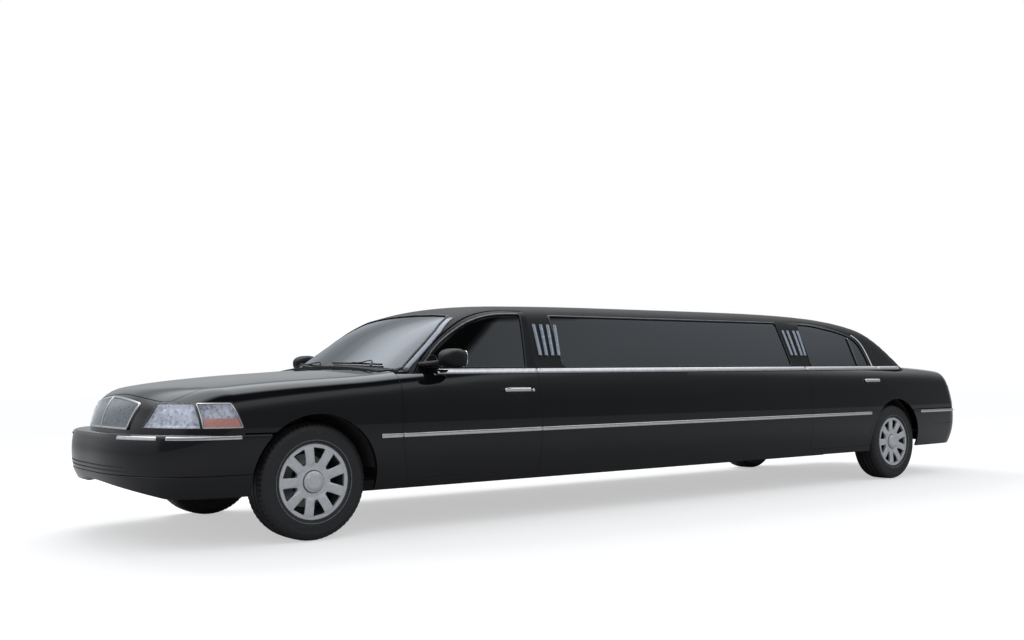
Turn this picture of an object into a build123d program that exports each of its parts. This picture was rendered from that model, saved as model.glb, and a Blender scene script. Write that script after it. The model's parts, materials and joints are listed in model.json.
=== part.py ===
"""A full-size saloon stretched by 3.05 m into a limousine, as an assembly of separate pieces.

Millimetres. +X is forwards, +Y is the car's left, +Z is up. The origin is on the ground, in the
middle of the overall length and width. Pieces of the left side are built once and mirrored.
"""

import os
from math import cos, radians, sin

from build123d import *

# ---------------------------------------------------------------- driving dimensions
LENGTH = 8519.0
TIP_X = LENGTH / 2
WHEELBASE = 6038.0
FRONT_OVERHANG = 1055.0
FRONT_AXLE_X = TIP_X - FRONT_OVERHANG
REAR_AXLE_X = FRONT_AXLE_X - WHEELBASE
HALF_WIDTH = 993.0
BELT_RISE = 0.008  # the belt line climbs towards the tail by this much for each mm

# tyres and wheels
TYRE_R = 351.0
FRONT_TRACK = 1610.0
REAR_TRACK = 1659.0
SPOKES = 9
KINGPIN_Y = 735.0
SPINDLE_R = 30.0
RUNNING_FIT = 0.05

# body levels and thicknesses
SILL_Z = 265.0
DOOR_FOOT_Z = 335.0
WIDEST_Z = 620.0
BELT_Z = 1014.0  # at the middle of the car
DOOR_INNER_Y = 893.0
SKIN_T = 26.0
SIDE_FRAME_T = 30.0
GLASS_T = 6.0
GLASS_DROP = 6.0
GAP = 8.0  # between a door, hood or lid and what is beside it
REAR_GAP = 16.0  # at a door frame's rear edge, which swings rearwards as it opens
SEAL = 1.5  # round the fixed glass
ARCH_R = 400.0
ARCH_Z = 355.0
REACH = 1300.0  # half the width of a cutter that goes through the whole car
FAR = 5000.0

# greenhouse
SIDE_LEAN = 0.5  # the side glass goes inwards this much for each mm up
GLASS_FOOT_Y = 925.0
GLASS_FOOT_Z = 1010.0
ROOF_CROWN_Z = 1541.0


def belt_z(x):
    return BELT_Z - BELT_RISE * x


# ---------------------------------------------------------------- helpers
def prism(plane, points, amount, corner=0.0, grow=0.0):
    """Prism from a closed outline of points on a plane, along the plane's normal."""
    with BuildPart() as solid:
        with BuildSketch(plane):
            with BuildLine():
                Polyline(*points, close=True)
            make_face()
            if grow:
                offset(amount=grow, kind=Kind.INTERSECTION)
            if corner:
                fillet(vertices(), corner)
        extrude(amount=amount)
    return solid.part


def side_prism(points, corner=0.0, grow=0.0, y_from=0.0, y_to=REACH):
    """Prism across the left half of the car from an outline of (x, z) points in side view."""
    return prism(Plane.XZ.offset(-y_to), points, y_to - y_from, corner, grow)


def plan_prism(points, z_from, z_to, corner=0.0, grow=0.0):
    """Upright prism from an outline of (x, y) points in plan."""
    return prism(Plane.XY.offset(z_from), points, z_to - z_from, corner, grow)


def front_prism(points, x_from, x_to, corner=0.0, grow=0.0):
    """Prism along the car from an outline of (y, z) points in front view."""
    return prism(Plane.YZ.offset(x_from), points, x_to - x_from, corner, grow)


def block(x_from, x_to, y_from, y_to, z_from, z_to):
    """Box between two corners."""
    with BuildPart() as box:
        with Locations(((x_from + x_to) / 2, (y_from + y_to) / 2, (z_from + z_to) / 2)):
            Box(x_to - x_from, y_to - y_from, z_to - z_from)
    return box.part


def rod(start, end, radius):
    """Round bar from one point to another."""
    axis = Vector(*end) - Vector(*start)
    with BuildPart() as bar:
        with BuildSketch(Plane(origin=start, z_dir=axis)):
            Circle(radius)
        extrude(amount=axis.length)
    return bar.part


def disc(axle_x, radius, y_from, y_to, z=ARCH_Z):
    """Cylinder across the car about an axle."""
    return rod((axle_x, y_from, z), (axle_x, y_to, z), radius)


def flipped(piece):
    """The mirror image on the other side of the car."""
    return mirror(piece, about=Plane.XZ, mode=Mode.PRIVATE)


def join(*pieces):
    with BuildPart() as whole:
        for piece in pieces:
            add(piece)
    return whole.part


def cut(piece, *tools):
    with BuildPart() as left:
        add(piece)
        for tool in tools:
            add(tool, mode=Mode.SUBTRACT)
    return left.part


def keep(piece, *tools):
    with BuildPart() as left:
        add(piece)
        for tool in tools:
            add(tool, mode=Mode.INTERSECT)
    return left.part


def save(shape, name):
    """Writes one node and says what it holds."""
    solids = shape.solids()
    node = solids[0] if len(solids) == 1 else Compound(children=solids)
    node.label = name
    export_step(node, f"parts/{name}.step")
    print(f"{name:24} {len(solids)} solids, {shape.volume / 1e6:9.2f} litres", flush=True)


def save_pair(piece, name):
    """Writes the left piece and its mirror image as two nodes."""
    save(piece, f"{name}_left")
    save(flipped(piece), f"{name}_right")


def save_both(piece, name):
    """Writes the left piece and its mirror image as one node of two or more solids."""
    save(Compound(children=[*piece.solids(), *flipped(piece).solids()]), name)


# ---------------------------------------------------------------- the master surfaces
# The front end in plan, from its tip back along the left side, in bands that lean as they go up:
# bottom, top, x of the tip at the bottom, and how far x moves for each mm up.
NOSE_BANDS = ((180, 480, 4190.0, 0.2317), (480, 650, 4259.5, -0.09), (650, 1200, 4146.0, -0.33))
TAIL_BANDS = ((180, 480, -4190.0, -0.2317), (480, 650, -4259.5, 0.06), (650, 1200, -4215.0, 0.33))
NOSE_PLAN = ((0, 0), (-36, 450), (-108, 660), (-185, 790))  # (x, y) behind and beside the tip
NOSE_SIDE = ((-330, 905), (-700, 968), (-1560, 993))
TAIL_PLAN = ((0, 0), (35, 450), (95, 660), (165, 800))
TAIL_SIDE = ((310, 903), (700, 960), (1200, 1012))


def end_band(z_from, z_to, tip_x, lean, plan, sides, inset, away):
    """One leaning band of the nose (away=1) or tail (away=-1) with all that is behind it."""
    (_, _), (arc_x, arc_y), (turn_x, turn_y), (corner_x, corner_y) = plan
    near, middle, far = sides
    tip = tip_x - away * inset
    with BuildPart() as band:
        with BuildSketch(Plane.XY.offset(z_from)):
            with BuildLine():
                ThreePointArc((tip + arc_x, -arc_y), (tip, 0), (tip + arc_x, arc_y))
                for side in (-1, 1):
                    corner = (tip + corner_x, side * (corner_y - inset / 2))
                    hip = (tip + far[0], side * (far[1] - inset))
                    ThreePointArc((tip + arc_x, side * arc_y), (tip + turn_x, side * (turn_y - inset / 4)), corner)
                    ThreePointArc(corner, (tip + near[0], side * (near[1] - inset)),
                                  (tip + middle[0], side * (middle[1] - inset)))
                    Line((tip + middle[0], side * (middle[1] - inset)), hip)
                    Line(hip, (-away * 300, side * (far[1] - inset)))
                Line((-away * 300, far[1] - inset), (-away * 300, inset - far[1]))
            make_face()
        extrude(amount=(z_to - z_from) * (1 + lean**2) ** 0.5, dir=(lean, 0, 1))
    return band.part


def lower_body(inset=0.0):
    """Everything below the side glass as one solid, with its skin moved inwards by inset."""
    foot, widest, belt_y = 930 - inset, HALF_WIDTH - inset, 947 - inset
    ends = join(*[end_band(*band, NOSE_PLAN, NOSE_SIDE, inset, 1) for band in NOSE_BANDS],
                *[end_band(*band, TAIL_PLAN, TAIL_SIDE, inset, -1) for band in TAIL_BANDS])
    with BuildPart() as body:
        for x in (TIP_X + 60, -TIP_X - 60):
            belt = belt_z(x) - inset
            with BuildSketch(Plane.YZ.offset(x)):
                with BuildLine():
                    Line((-foot, SILL_Z), (foot, SILL_Z))
                    for side in (1, -1):
                        ThreePointArc((side * foot, SILL_Z), (side * (977 - inset), 450),
                                      (side * widest, WIDEST_Z))
                        ThreePointArc((side * widest, WIDEST_Z), (side * (985 - inset), (WIDEST_Z + belt) / 2),
                                      (side * belt_y, belt))
                    ThreePointArc((belt_y, belt), (0, belt + 78), (-belt_y, belt))
                make_face()
        loft(ruled=True)
        add(ends, mode=Mode.INTERSECT)
        add(hood_surface(inset), mode=Mode.INTERSECT)
        add(deck_surface(inset), mode=Mode.INTERSECT)
    return body.part


def hood_surface(inset=0.0):
    """All that is under the crowned hood, which falls forwards in two slopes."""
    knee_x, crown, knee_z, fall = 3550.0, 1062.0 - inset, 989.0 - inset, 118.0
    return keep_under(((2600.0, crown), (knee_x, knee_z), (4400.0, knee_z - 115)), fall, -FAR, 1062 + 200)


def deck_surface(inset=0.0):
    """All that is under the crowned luggage lid, which falls backwards in two slopes."""
    return keep_under(((-2900.0, 1098.0 - inset), (-3900.0, 1040.0 - inset), (-4500.0, 950.0 - inset)),
                      118.0, FAR, 1300)


def keep_under(line, fall, open_x, open_z):
    """All under a surface with an arched section that is swept along a bent line in side view."""
    (x0, z0), (x1, z1), (x2, z2) = line
    with BuildPart() as under:
        for (start_x, start_z), (end_x, end_z) in (((x0, z0), (x1, z1)), ((x1, z1), (x2, z2))):
            for x, z in ((start_x, start_z), (end_x, end_z)):
                with BuildSketch(Plane.YZ.offset(x)):
                    with BuildLine():
                        Polyline((-REACH, z - fall), (-REACH, 0), (REACH, 0), (REACH, z - fall))
                        ThreePointArc((-REACH, z - fall), (0, z), (REACH, z - fall))
                    make_face()
            loft(ruled=True)
        add(block(min(x0, open_x), max(x0, open_x), -REACH, REACH, 0, open_z))
    return under.part


def greenhouse(inset=0.0):
    """Everything above the belt as one solid, with its skin moved inwards by inset."""
    step = inset * (1 + SIDE_LEAN**2) ** 0.5
    foot_z, rail_z, edge_z = 965, 1470, 1521

    def side_y(z):
        return GLASS_FOOT_Y - SIDE_LEAN * (z - GLASS_FOOT_Z) - step

    with BuildPart() as house:
        with BuildSketch(Plane.YZ.offset(-3700)):
            with BuildLine():
                Polyline((side_y(rail_z), rail_z), (side_y(foot_z), foot_z), (-side_y(foot_z), foot_z),
                         (-side_y(rail_z), rail_z))
                for side in (-1, 1):
                    ThreePointArc((side * side_y(rail_z), rail_z), (side * (664 - inset), 1503 - inset * 0.7),
                                  (side * (582 - inset), edge_z - inset))
                ThreePointArc((inset - 582, edge_z - inset), (0, ROOF_CROWN_Z - inset), (582 - inset, edge_z - inset))
            make_face()
        extrude(amount=6500)
        add(screen_surface(inset), mode=Mode.INTERSECT)
        add(roof_line(inset), mode=Mode.INTERSECT)
    return house.part


def screen_surface(inset=0.0):
    """All that is behind the raked, bowed windscreen and ahead of the bowed back window."""
    front, back = 2840 - inset * 1.78, -3395 + inset * 1.45
    lean, bow, rise, half = -1.47, 170.0, 700.0, REACH / 1.2
    with BuildPart() as behind:
        with BuildSketch(Plane.XY.offset(930)):
            with BuildLine():
                Polyline((front - bow, half), (-FAR, half), (-FAR, -half), (front - bow, -half))
                ThreePointArc((front - bow, -half), (front, 0), (front - bow, half))
            make_face()
        extrude(amount=rise * (1 + lean**2) ** 0.5, dir=(lean, 0, 1))
    with BuildPart() as ahead:
        with BuildSketch(Plane.XY.offset(930)):
            with BuildLine():
                Polyline((back + bow, half), (FAR, half), (FAR, -half), (back + bow, -half))
                ThreePointArc((back + bow, -half), (back, 0), (back + bow, half))
            make_face()
        extrude(amount=rise * 2**0.5, dir=(1, 0, 1))
    return keep(behind.part, ahead.part)


def roof_line(inset=0.0):
    """All that is under the roof's long arc and the rounded top of the back window."""
    with BuildPart() as under:
        with BuildSketch(Plane.XZ):
            with BuildLine():
                Polyline((-3320 + inset, 900), (3000, 900), (3000, 1368 - inset))
                ThreePointArc((3000, 1368 - inset), (2400, 1450 - inset), (1700, 1494 - inset))
                ThreePointArc((1700, 1494 - inset), (-500, 1538 - inset), (-2250, 1508 - inset))
                ThreePointArc((-2250, 1508 - inset), (-2600, 1453 - inset), (-2900 + inset / 2, 1350 - inset))
                Line((-2900 + inset / 2, 1350 - inset), (-3320 + inset, 900))
            make_face()
        extrude(amount=REACH, both=True)
    return under.part


# ---------------------------------------------------------------- outlines in side view (x, z)
FRONT_DOOR = ((2590, DOOR_FOOT_Z), (2635, 603), (2638, 1200), (1517, 1200), (1517, DOOR_FOOT_Z))
FRONT_DOOR_TOP = ((2540, 960), (2540, 990), (2300, 1205), (2150, 1300), (2020, 1365), (1875, 1412),
                  (1740, 1433), (1445, 1440), (1517, 1010), (1517, 960))
FRONT_DOOR_GLASS = ((2450, 1030), (2278, 1181), (2129, 1271), (1995, 1334), (1866, 1376), (1741, 1400),
                    (1507, 1408), (1602, 1030))
REAR_DOOR = ((-1520, DOOR_FOOT_Z), (-1520, 1200), (-2630, 1200), (-2630, DOOR_FOOT_Z))
REAR_DOOR_TOP = ((-1520, 960), (-1520, 1010), (-1575, 1455), (-1830, 1457), (-2050, 1440), (-2250, 1405),
                 (-2400, 1367), (-2500, 1325), (-2550, 1265), (-2566, 1180), (-2572, 960))
REAR_DOOR_GLASS = ((-1638, 1060), (-1682, 1425), (-1830, 1428), (-2012, 1411), (-2195, 1384), (-2350, 1349),
                   (-2440, 1313), (-2488, 1262), (-2508, 1190), (-2512, 1060))
LONG_WINDOW = ((1245, 1038), (1229, 1409), (-1383, 1436), (-1357, 1060))
HOOD_PLAN = ((2700, -782), (2740, 0), (2700, 782), (3500, 770), (4040, 735), (4300, 690), (4300, -690),
             (4040, -735), (3500, -770))
GRILLE = ((-355, 653), (355, 653), (418, 845), (300, 875), (0, 890), (-300, 875), (-418, 845))
SCREEN = ((-850, 1050), (850, 1050), (690, 1390), (-690, 1390))
BACKLIGHT = ((-690, 1105), (690, 1105), (520, 1345), (-520, 1345))
LAMP_Z = (686, 825)
TAIL_LAMP = ((572, 690), (900, 690), (900, 880), (572, 895))  # (y, z)
LID_PLAN = ((-3440, -745), (-3440, 745), (-4400, 700), (-4400, -700))
LID_FRONT_X = -3440.0
BUMPER_TOP_Z = 650.0
BUMPER_FOOT_Z = 300.0
REAR_BUMPER_TOP_Z = 650.0
HOOD_LIP_Z = 835.0
FENDER_REAR_X = 2643.0
DECK_Z = 880.0


def opening(outline, rear_gap=GAP):
    """The hole that a door's outline needs, with more room at its rear edge."""
    grown = side_prism(outline, grow=GAP)
    return join(grown, grown.moved(Location((GAP - rear_gap, 0, 0))))


# ---------------------------------------------------------------- wheels
def rim(axle_x, track, side):
    """Cast wheel: barrel, flat-faced disc with spokes between tapered windows, and a hub."""
    face_y, hub_r, disc_t = 62.0, 72.0, 26.0
    with BuildPart() as wheel:
        with BuildSketch(Plane.YZ):
            with BuildLine():
                Polyline(*[(y, r) for r, y in ((206, -89), (234, -89), (234, -80), (208, -66), (208, 66),
                                               (234, 80), (234, 89), (214, 89), (196, 60), (196, -66))], close=True)
            make_face()
            with BuildLine():
                Polyline((face_y - disc_t, SPINDLE_R + RUNNING_FIT), (face_y, SPINDLE_R + RUNNING_FIT),
                         (face_y + 8, 150), (face_y + 4, 200), (face_y - disc_t, 200), (face_y - disc_t, 90),
                         (face_y - 2 * disc_t, 80), (face_y - 2 * disc_t, SPINDLE_R + RUNNING_FIT), close=True)
            make_face()
        revolve(axis=Axis.Y)
        with BuildSketch(Plane.XZ.offset(-face_y - 20)):
            with PolarLocations(0, SPOKES):
                Polygon((112, -14), (180, -34), (184, 0), (180, 34), (112, 14), align=None)
        extrude(amount=80, mode=Mode.SUBTRACT)
        with BuildSketch(Plane.XZ.offset(-face_y - 12)):
            Circle(hub_r)
        extrude(amount=14)
    shape = wheel.part if side > 0 else flipped(wheel.part)
    return shape.moved(Location((axle_x, side * track / 2, TYRE_R)))


def tyre(axle_x, track, side):
    """Tyre as a plain ring: tread, shoulders and sidewalls."""
    with BuildPart() as ring:
        with BuildSketch(Plane.YZ):
            with BuildLine():
                Polyline((-82, 234.5), (-112, 290), (-86, TYRE_R), (86, TYRE_R), (112, 290), (82, 234.5), close=True)
            make_face()
        revolve(axis=Axis.Y)
    return ring.part.moved(Location((axle_x, side * track / 2, TYRE_R)))


def wheels():
    places = (("front_left", FRONT_AXLE_X, FRONT_TRACK, 1), ("front_right", FRONT_AXLE_X, FRONT_TRACK, -1),
              ("rear_left", REAR_AXLE_X, REAR_TRACK, 1), ("rear_right", REAR_AXLE_X, REAR_TRACK, -1))
    for name, axle_x, track, side in places:
        save(rim(axle_x, track, side), f"rim_{name}")
        save(tyre(axle_x, track, side), f"tyre_{name}")


# ---------------------------------------------------------------- running gear
RAIL_FOOT_Z = 215.0
TOW_EYE_R = 16.0
TOW_EYE_X = -3990.0
TOW_EYE_Z = 268.0  # a pin slides in from the side under the bumper's foot
# the pillars end above the corners of the doors, which swing under them: (x from, x to, z)
PILLAR_FEET = ((2520, 2651, 1012), (-2638, -2565, 1052))


def knuckle():
    """Upright on the kingpin with its spindle through the hub, and a steering arm."""
    hub_y = FRONT_TRACK / 2
    return join(rod((FRONT_AXLE_X, KINGPIN_Y, TYRE_R - 70), (FRONT_AXLE_X, KINGPIN_Y, TYRE_R + 70), 26),
                rod((FRONT_AXLE_X, KINGPIN_Y, TYRE_R), (FRONT_AXLE_X, hub_y + 60, TYRE_R), SPINDLE_R),
                block(FRONT_AXLE_X - 130, FRONT_AXLE_X, KINGPIN_Y - 18, KINGPIN_Y + 18, TYRE_R - 16, TYRE_R + 16))


def front_suspension():
    """Lower and upper arms each side, joined by a cross-member under the engine."""
    x, side_rail = FRONT_AXLE_X, 470
    arm_z, upper_z = TYRE_R - 95, TYRE_R + 95
    parts = [block(x - 60, x + 60, -side_rail, side_rail, 205, 275)]
    for side in (-1, 1):
        parts.append(block(x - 45, x + 45, min(side * 420, side * KINGPIN_Y), max(side * 420, side * KINGPIN_Y),
                           arm_z - 14, arm_z + 14))
        parts.append(block(x - 40, x + 40, min(side * 425, side * KINGPIN_Y), max(side * 425, side * KINGPIN_Y),
                           upper_z - 12, upper_z + 12))
        parts.append(block(x - 40, x + 40, min(side * 425, side * 465), max(side * 425, side * 465), 270, upper_z + 12))
    return join(*parts)


def rear_axle():
    """Axle tube with its differential, and spindles through the rear hubs."""
    x, hub_y = REAR_AXLE_X, REAR_TRACK / 2
    tube = rod((x, -700, TYRE_R), (x, 700, TYRE_R), 42)
    spindle = rod((x, -hub_y - 60, TYRE_R), (x, hub_y + 60, TYRE_R), SPINDLE_R)
    with BuildPart() as housing:
        with Locations((x, 0, TYRE_R)):
            Sphere(125)
    return join(tube, spindle, housing.part)


def chassis_frame():
    """Ladder of two rails that step up over the rear axle, with cross-members."""
    rail_in, rail_out, rail_t = 350, 420, 70
    line = ((4000, 300), (3560, 290), (2900, 290), (2700, RAIL_FOOT_Z), (-2450, RAIL_FOOT_Z), (-2620, 445),
            (-3230, 445), (-3420, 325), (-4020, 325))
    outline = [*line, *[(x, z + rail_t) for x, z in reversed(line)]]
    members = (3750, 2300, 1200, 100, -1000, -2150, -3600)
    parts = []
    for side in (-1, 1):
        low, high = sorted((side * rail_in, side * rail_out))
        parts.append(side_prism(outline, y_from=low, y_to=high))
    for x in members:
        z = 285 if x > 3560 else 290 if x < -3420 else 225
        parts.append(block(x - 35, x + 35, -rail_in - 10, rail_in + 10, z, z + 45))
    eye_x, eye_z, eye_t = TOW_EYE_X, TOW_EYE_Z, TOW_EYE_R
    eye_y = (rail_in + rail_out) / 2
    eye = join(rod((eye_x, eye_y - eye_t / 2, eye_z), (eye_x, eye_y + eye_t / 2, eye_z), 2 * TOW_EYE_R),
               block(eye_x - 26, eye_x + 26, eye_y - eye_t / 2, eye_y + eye_t / 2, eye_z, 335))
    hole = rod((eye_x, eye_y - 2 * eye_t, eye_z), (eye_x, eye_y + 2 * eye_t, eye_z), TOW_EYE_R)
    return cut(join(*parts, eye), hole)


def driveline():
    """Long shaft in two lengths from the gearbox to the differential."""
    start, middle, end = (2440, 0, 328), (-100, 0, 322), (REAR_AXLE_X + 126, 0, TYRE_R - 6)
    return join(rod(start, middle, 38), rod(middle, end, 38))


def exhaust():
    """Pipe beside the shaft in the tunnel, a silencer, and a tail pipe over the axle."""
    y, z, over_z, side_y, pipe_r = -122, 328, 500, -300, 25
    line = ((2400, y, z), (-2520, y, z), (-2640, y, over_z), (-3230, y, over_z), (-3420, side_y, 375),
            (-4080, side_y, 345))
    pipes = [rod(start, end, pipe_r) for start, end in zip(line, line[1:])]
    return join(*pipes, rod((-1900, y, z), (-1200, y, z), 44))


# ---------------------------------------------------------------- floor, firewall and wheel housings
TUNNEL = block(-2440, 2560, -190, 90, 305, 400)
TUNNEL_VOID = block(-2480, 2600, -172, 72, 200, 386)


def underbody():
    """Floor, firewall, cowl, rear bulkhead, luggage floor and the inner wheel housings."""
    floor_z, sheet = 305, 22
    parts = [block(-2440, 2582, -885, 885, floor_z, floor_z + sheet),
             TUNNEL,
             block(2560, 2582, -800, 800, floor_z, 1030),
             block(-2462, -2440, -850, 850, floor_z, 946),
             block(-3420, -2440, -600, 600, 530, 530 + sheet),
             block(-3442, -3420, -600, 600, 405, 530 + sheet),
             block(-4080, -3420, -600, 600, 405, 405 + sheet),
             block(-3240, -2440, -636, 636, 925, 946),
             block(-3240, -3220, -636, 636, 925, 1066)]
    for side in (-1, 1):
        for axle_x, inner_y, outer_y, radius in ((FRONT_AXLE_X, 500, 925, 424), (REAR_AXLE_X, 640, 885, 424)):
            low, high = sorted((side * inner_y, side * outer_y))
            housing = cut(disc(axle_x, radius, low, high), disc(axle_x, radius - 18, low, high))
            parts.append(keep(housing, block(axle_x - 500, axle_x + 500, low, high, ARCH_Z + 60, 1000)))
        low, high = sorted((side * 440, side * 640))
        parts.append(block(2575, 2840, low, high, 500, 560))
        low, high = sorted((side * 590, side * 645))
        parts.append(block(-3240, -2440, low, high, 530, 770))
    return cut(join(*parts), TUNNEL_VOID, block(2500, 2600, -170, 170, 300, 580))


def cowl(shell):
    """Strip of skin between hood and windscreen, and its drain."""
    strip = plan_prism(((2540, -775), (2540, 775), (2692, 774), (2732, 0), (2692, -774)), 960, 1200)
    deck = block(LID_FRONT_X + GAP, -3120, -638, 638, 960, 1200)
    return keep(shell, join(strip, deck))


def engine():
    """Engine, gearbox and radiator as one plain mass."""
    return join(block(2960, 3560, -250, 250, 345, 860), block(2520, 2960, -150, 150, 290, 560),
                block(3560, 3640, -300, 300, 345, 780), block(2455, 2520, -70, 60, 290, 372))


# ---------------------------------------------------------------- body
def body_side(outer, skin, door_holes):
    """Left sill and middle panel, and the rear quarter with its arch."""
    middle = keep(outer, block(-2700, FENDER_REAR_X - GAP, DOOR_INNER_Y, 1100, SILL_Z - 5, 1200))
    quarter = keep(skin, block(-4400, -2480, 300, 1100, SILL_Z - 5, 1200))
    side = join(middle, quarter)
    lid_hole = plan_prism(LID_PLAN, 880, 1300, grow=GAP)
    tail = block(-4400, -3900, 0, 572, REAR_BUMPER_TOP_Z - 5, 1200)
    bumper = block(-4400, -3243, 0, 1100, 0, REAR_BUMPER_TOP_Z + 4)
    lamp = front_prism(TAIL_LAMP, -4400, -3900, grow=1)
    return cut(side, disc(REAR_AXLE_X, ARCH_R, 0, 1100), *door_holes, lid_hole, tail, bumper, lamp,
               disc(REAR_AXLE_X, ARCH_R + 26, 0, 890), block(-3460, -2400, 0, 640, 0, 1300))


def front_fender(skin):
    """Left fender from the door to the headlamp, with its arch."""
    side = keep(skin, block(FENDER_REAR_X, 4300, 300, 1100, SILL_Z - 5, 1100))
    hood_hole = plan_prism(HOOD_PLAN, HOOD_LIP_Z - 8, 1300, grow=GAP)
    nose = block(3900, 4400, 0, 700, 0, HOOD_LIP_Z - 4)
    bumper = block(3628, 4400, 0, 1100, 0, BUMPER_TOP_Z + 4)
    cowl_hole = block(2500, 2720, 0, 790, 900, 1300)
    return cut(side, disc(FRONT_AXLE_X, ARCH_R, 0, 1100), hood_hole, nose, bumper, cowl_hole, lamp_prism(1))


def lamp_prism(grow=0.0):
    """Outline of the left lamp, from beside the grille round to the fender."""
    low, high = LAMP_Z
    around = side_prism(((3657, low), (3717, high), (4400, high), (4400, low)), grow=grow)
    inner = front_prism(((520, low - 5), (545, high + 5), (1100, high + 5), (1100, low - 5)), 3600, 4400)
    return keep(around, inner)


def headlamp(deep):
    return keep(deep, lamp_prism())


def hood(skin):
    """Hood panel with the notch for the grille and a lip above the lamps."""
    top = keep(skin, plan_prism(HOOD_PLAN, HOOD_LIP_Z, 1300))
    return cut(top, front_prism(GRILLE, 3800, 4400, grow=GAP))


def grille(deep):
    """Bright surround with upright bars either side of a wider middle bar."""
    bar_pitch, bar_w, centre_w, border = 36.0, 15.0, 34.0, 24.0
    frame = keep(deep, front_prism(GRILLE, 3800, 4400))
    slots = []
    inner = front_prism(GRILLE, 3800, 4400, grow=-border)
    for side in (-1, 1):
        for n in range(9):
            low = centre_w / 2 + n * bar_pitch
            y_from, y_to = sorted((side * low, side * (low + bar_pitch - bar_w)))
            slots.append(block(3800, 4400, y_from, y_to, 600, 900))
    return cut(frame, keep(join(*slots), inner))


def front_bumper(skin, outer):
    """Bumper cover round to both front arches, with a shelf along its top."""
    cover = keep(skin, block(3632, 4400, -1100, 1100, BUMPER_FOOT_Z, BUMPER_TOP_Z))
    shelf = keep(outer, block(3950, 4400, -860, 860, BUMPER_TOP_Z - 16, BUMPER_TOP_Z))
    return cut(join(cover, shelf), disc(FRONT_AXLE_X, ARCH_R, -1100, 1100))


def rear_bumper(skin, outer):
    """Bumper cover round to both rear arches, with a shelf along its top."""
    cover = keep(skin, block(-4400, -3252, -1100, 1100, BUMPER_FOOT_Z, REAR_BUMPER_TOP_Z))
    shelf = keep(outer, block(-4400, -3920, -840, 840, REAR_BUMPER_TOP_Z - 18, REAR_BUMPER_TOP_Z))
    return cut(join(cover, shelf), disc(REAR_AXLE_X, ARCH_R, -1100, 1100))


PLATE_PITCH_Y, PLATE_PITCH_Z, PLATE_HOLE_R = 178.0, 121.0, 3.5


def trunk_lid(skin):
    """Lid with its rear face between the lamps, and a pad with four holes for a plate."""
    top = keep(skin, plan_prism(LID_PLAN, DECK_Z, 1300))
    back = keep(skin, block(-4400, -3900, -564, 564, REAR_BUMPER_TOP_Z + 6, 1000))
    lamps = [front_prism(TAIL_LAMP, -4400, -3900, grow=GAP)]
    plate_x, plate_z, pad_t = -4205.0, 770.0, 60.0
    pad = block(plate_x, plate_x + pad_t, -160, 160, plate_z - 84, plate_z + 84)
    holes = [rod((plate_x - 10, y, plate_z + z), (plate_x + pad_t + 10, y, plate_z + z), PLATE_HOLE_R)
             for y in (-PLATE_PITCH_Y / 2, PLATE_PITCH_Y / 2) for z in (-PLATE_PITCH_Z / 2, PLATE_PITCH_Z / 2)]
    return cut(join(top, back, pad), *lamps, *[flipped(lamp) for lamp in lamps], *holes)


def side_slab(depth):
    """What lies outside a plane that leans like the side glass, this deep inside the left side."""
    foot_z, top_z = 900.0, 1520.0
    low_y = GLASS_FOOT_Y - SIDE_LEAN * (foot_z - GLASS_FOOT_Z) - depth
    high_y = GLASS_FOOT_Y - SIDE_LEAN * (top_z - GLASS_FOOT_Z) - depth
    return front_prism(((low_y, foot_z), (1200, foot_z), (1200, top_z), (high_y, top_z)), -3700, 3000)


def roof(shell, outer, top_outlines):
    """Roof panel with its pillars and rails, and holes for all the glass and the door frames."""
    slab = side_slab(60)
    holes = [front_prism(SCREEN, 1800, 3000, grow=SEAL), front_prism(BACKLIGHT, -3600, -2700, grow=SEAL)]
    for x_from, x_to, foot_z in PILLAR_FEET:
        foot = block(x_from, x_to, DOOR_INNER_Y - GAP, REACH, 900, foot_z)
        holes += [foot, flipped(foot)]
    for hole in (*top_outlines, side_prism(LONG_WINDOW, grow=SEAL)):
        near = keep(hole, slab)
        holes += [near, flipped(near)]
    return cut(shell, outer, *holes)


def door(outer, shell, outline, top_outline, glass_outline, trim):
    """Lower door as a full-depth panel, and a slender frame round the glass above it."""
    lower = keep(outer, side_prism(outline), block(-3000, 3000, DOOR_INNER_Y, 1100, 300, 1200))
    upper = keep(shell, side_prism(top_outline), side_slab(40))
    return cut(join(lower, upper), side_prism(glass_outline, grow=SEAL), *trim)


def mirror_housing():
    """Door mirror on its foot."""
    with BuildPart() as housing:
        with Locations((2312, 1046, 1098)):
            Box(96, 176, 116)
        fillet(housing.edges(), 24)
    foot = side_prism(((2360, 1030), (2455, 1030), (2430, 1090), (2350, 1100)), y_from=925, y_to=990)
    return join(housing.part, foot)


# ---------------------------------------------------------------- inside
def seat(x_back, z_floor, y_from, y_to, faces=1):
    """Bench with a cushion and a leaning back; faces=1 looks forwards."""
    profile = ((0, 0), (640, 0), (660, 190), (640, 260), (190, 235), (30, 640), (-90, 640), (-40, 0))
    points = [(x_back + faces * x, z_floor + z) for x, z in profile]
    return prism(Plane.XZ.offset(-y_to), points, y_to - y_from, 28.0)


def over_tunnel(piece):
    """The piece with room under it for the tunnel."""
    return cut(piece, block(-2440, 2560, -191, 91, 300, 401))


def lounge_seats():
    """Rear bench across the cabin and a long bench down its right side."""
    profile = ((-860, 0), (-400, 0), (-360, 240), (-620, 235), (-720, 560), (-830, 560))
    side = over_tunnel(front_prism([(y, 332 + z) for y, z in profile], -1650, 850))
    rear = over_tunnel(seat(-2330, 332, -850, 850))
    return Compound(children=[*rear.solids(), *side.solids()])


def front_seats():
    return Compound(children=[s for y in (-690, 70) for s in over_tunnel(seat(1330, 332, y, y + 620)).solids()])


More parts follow.
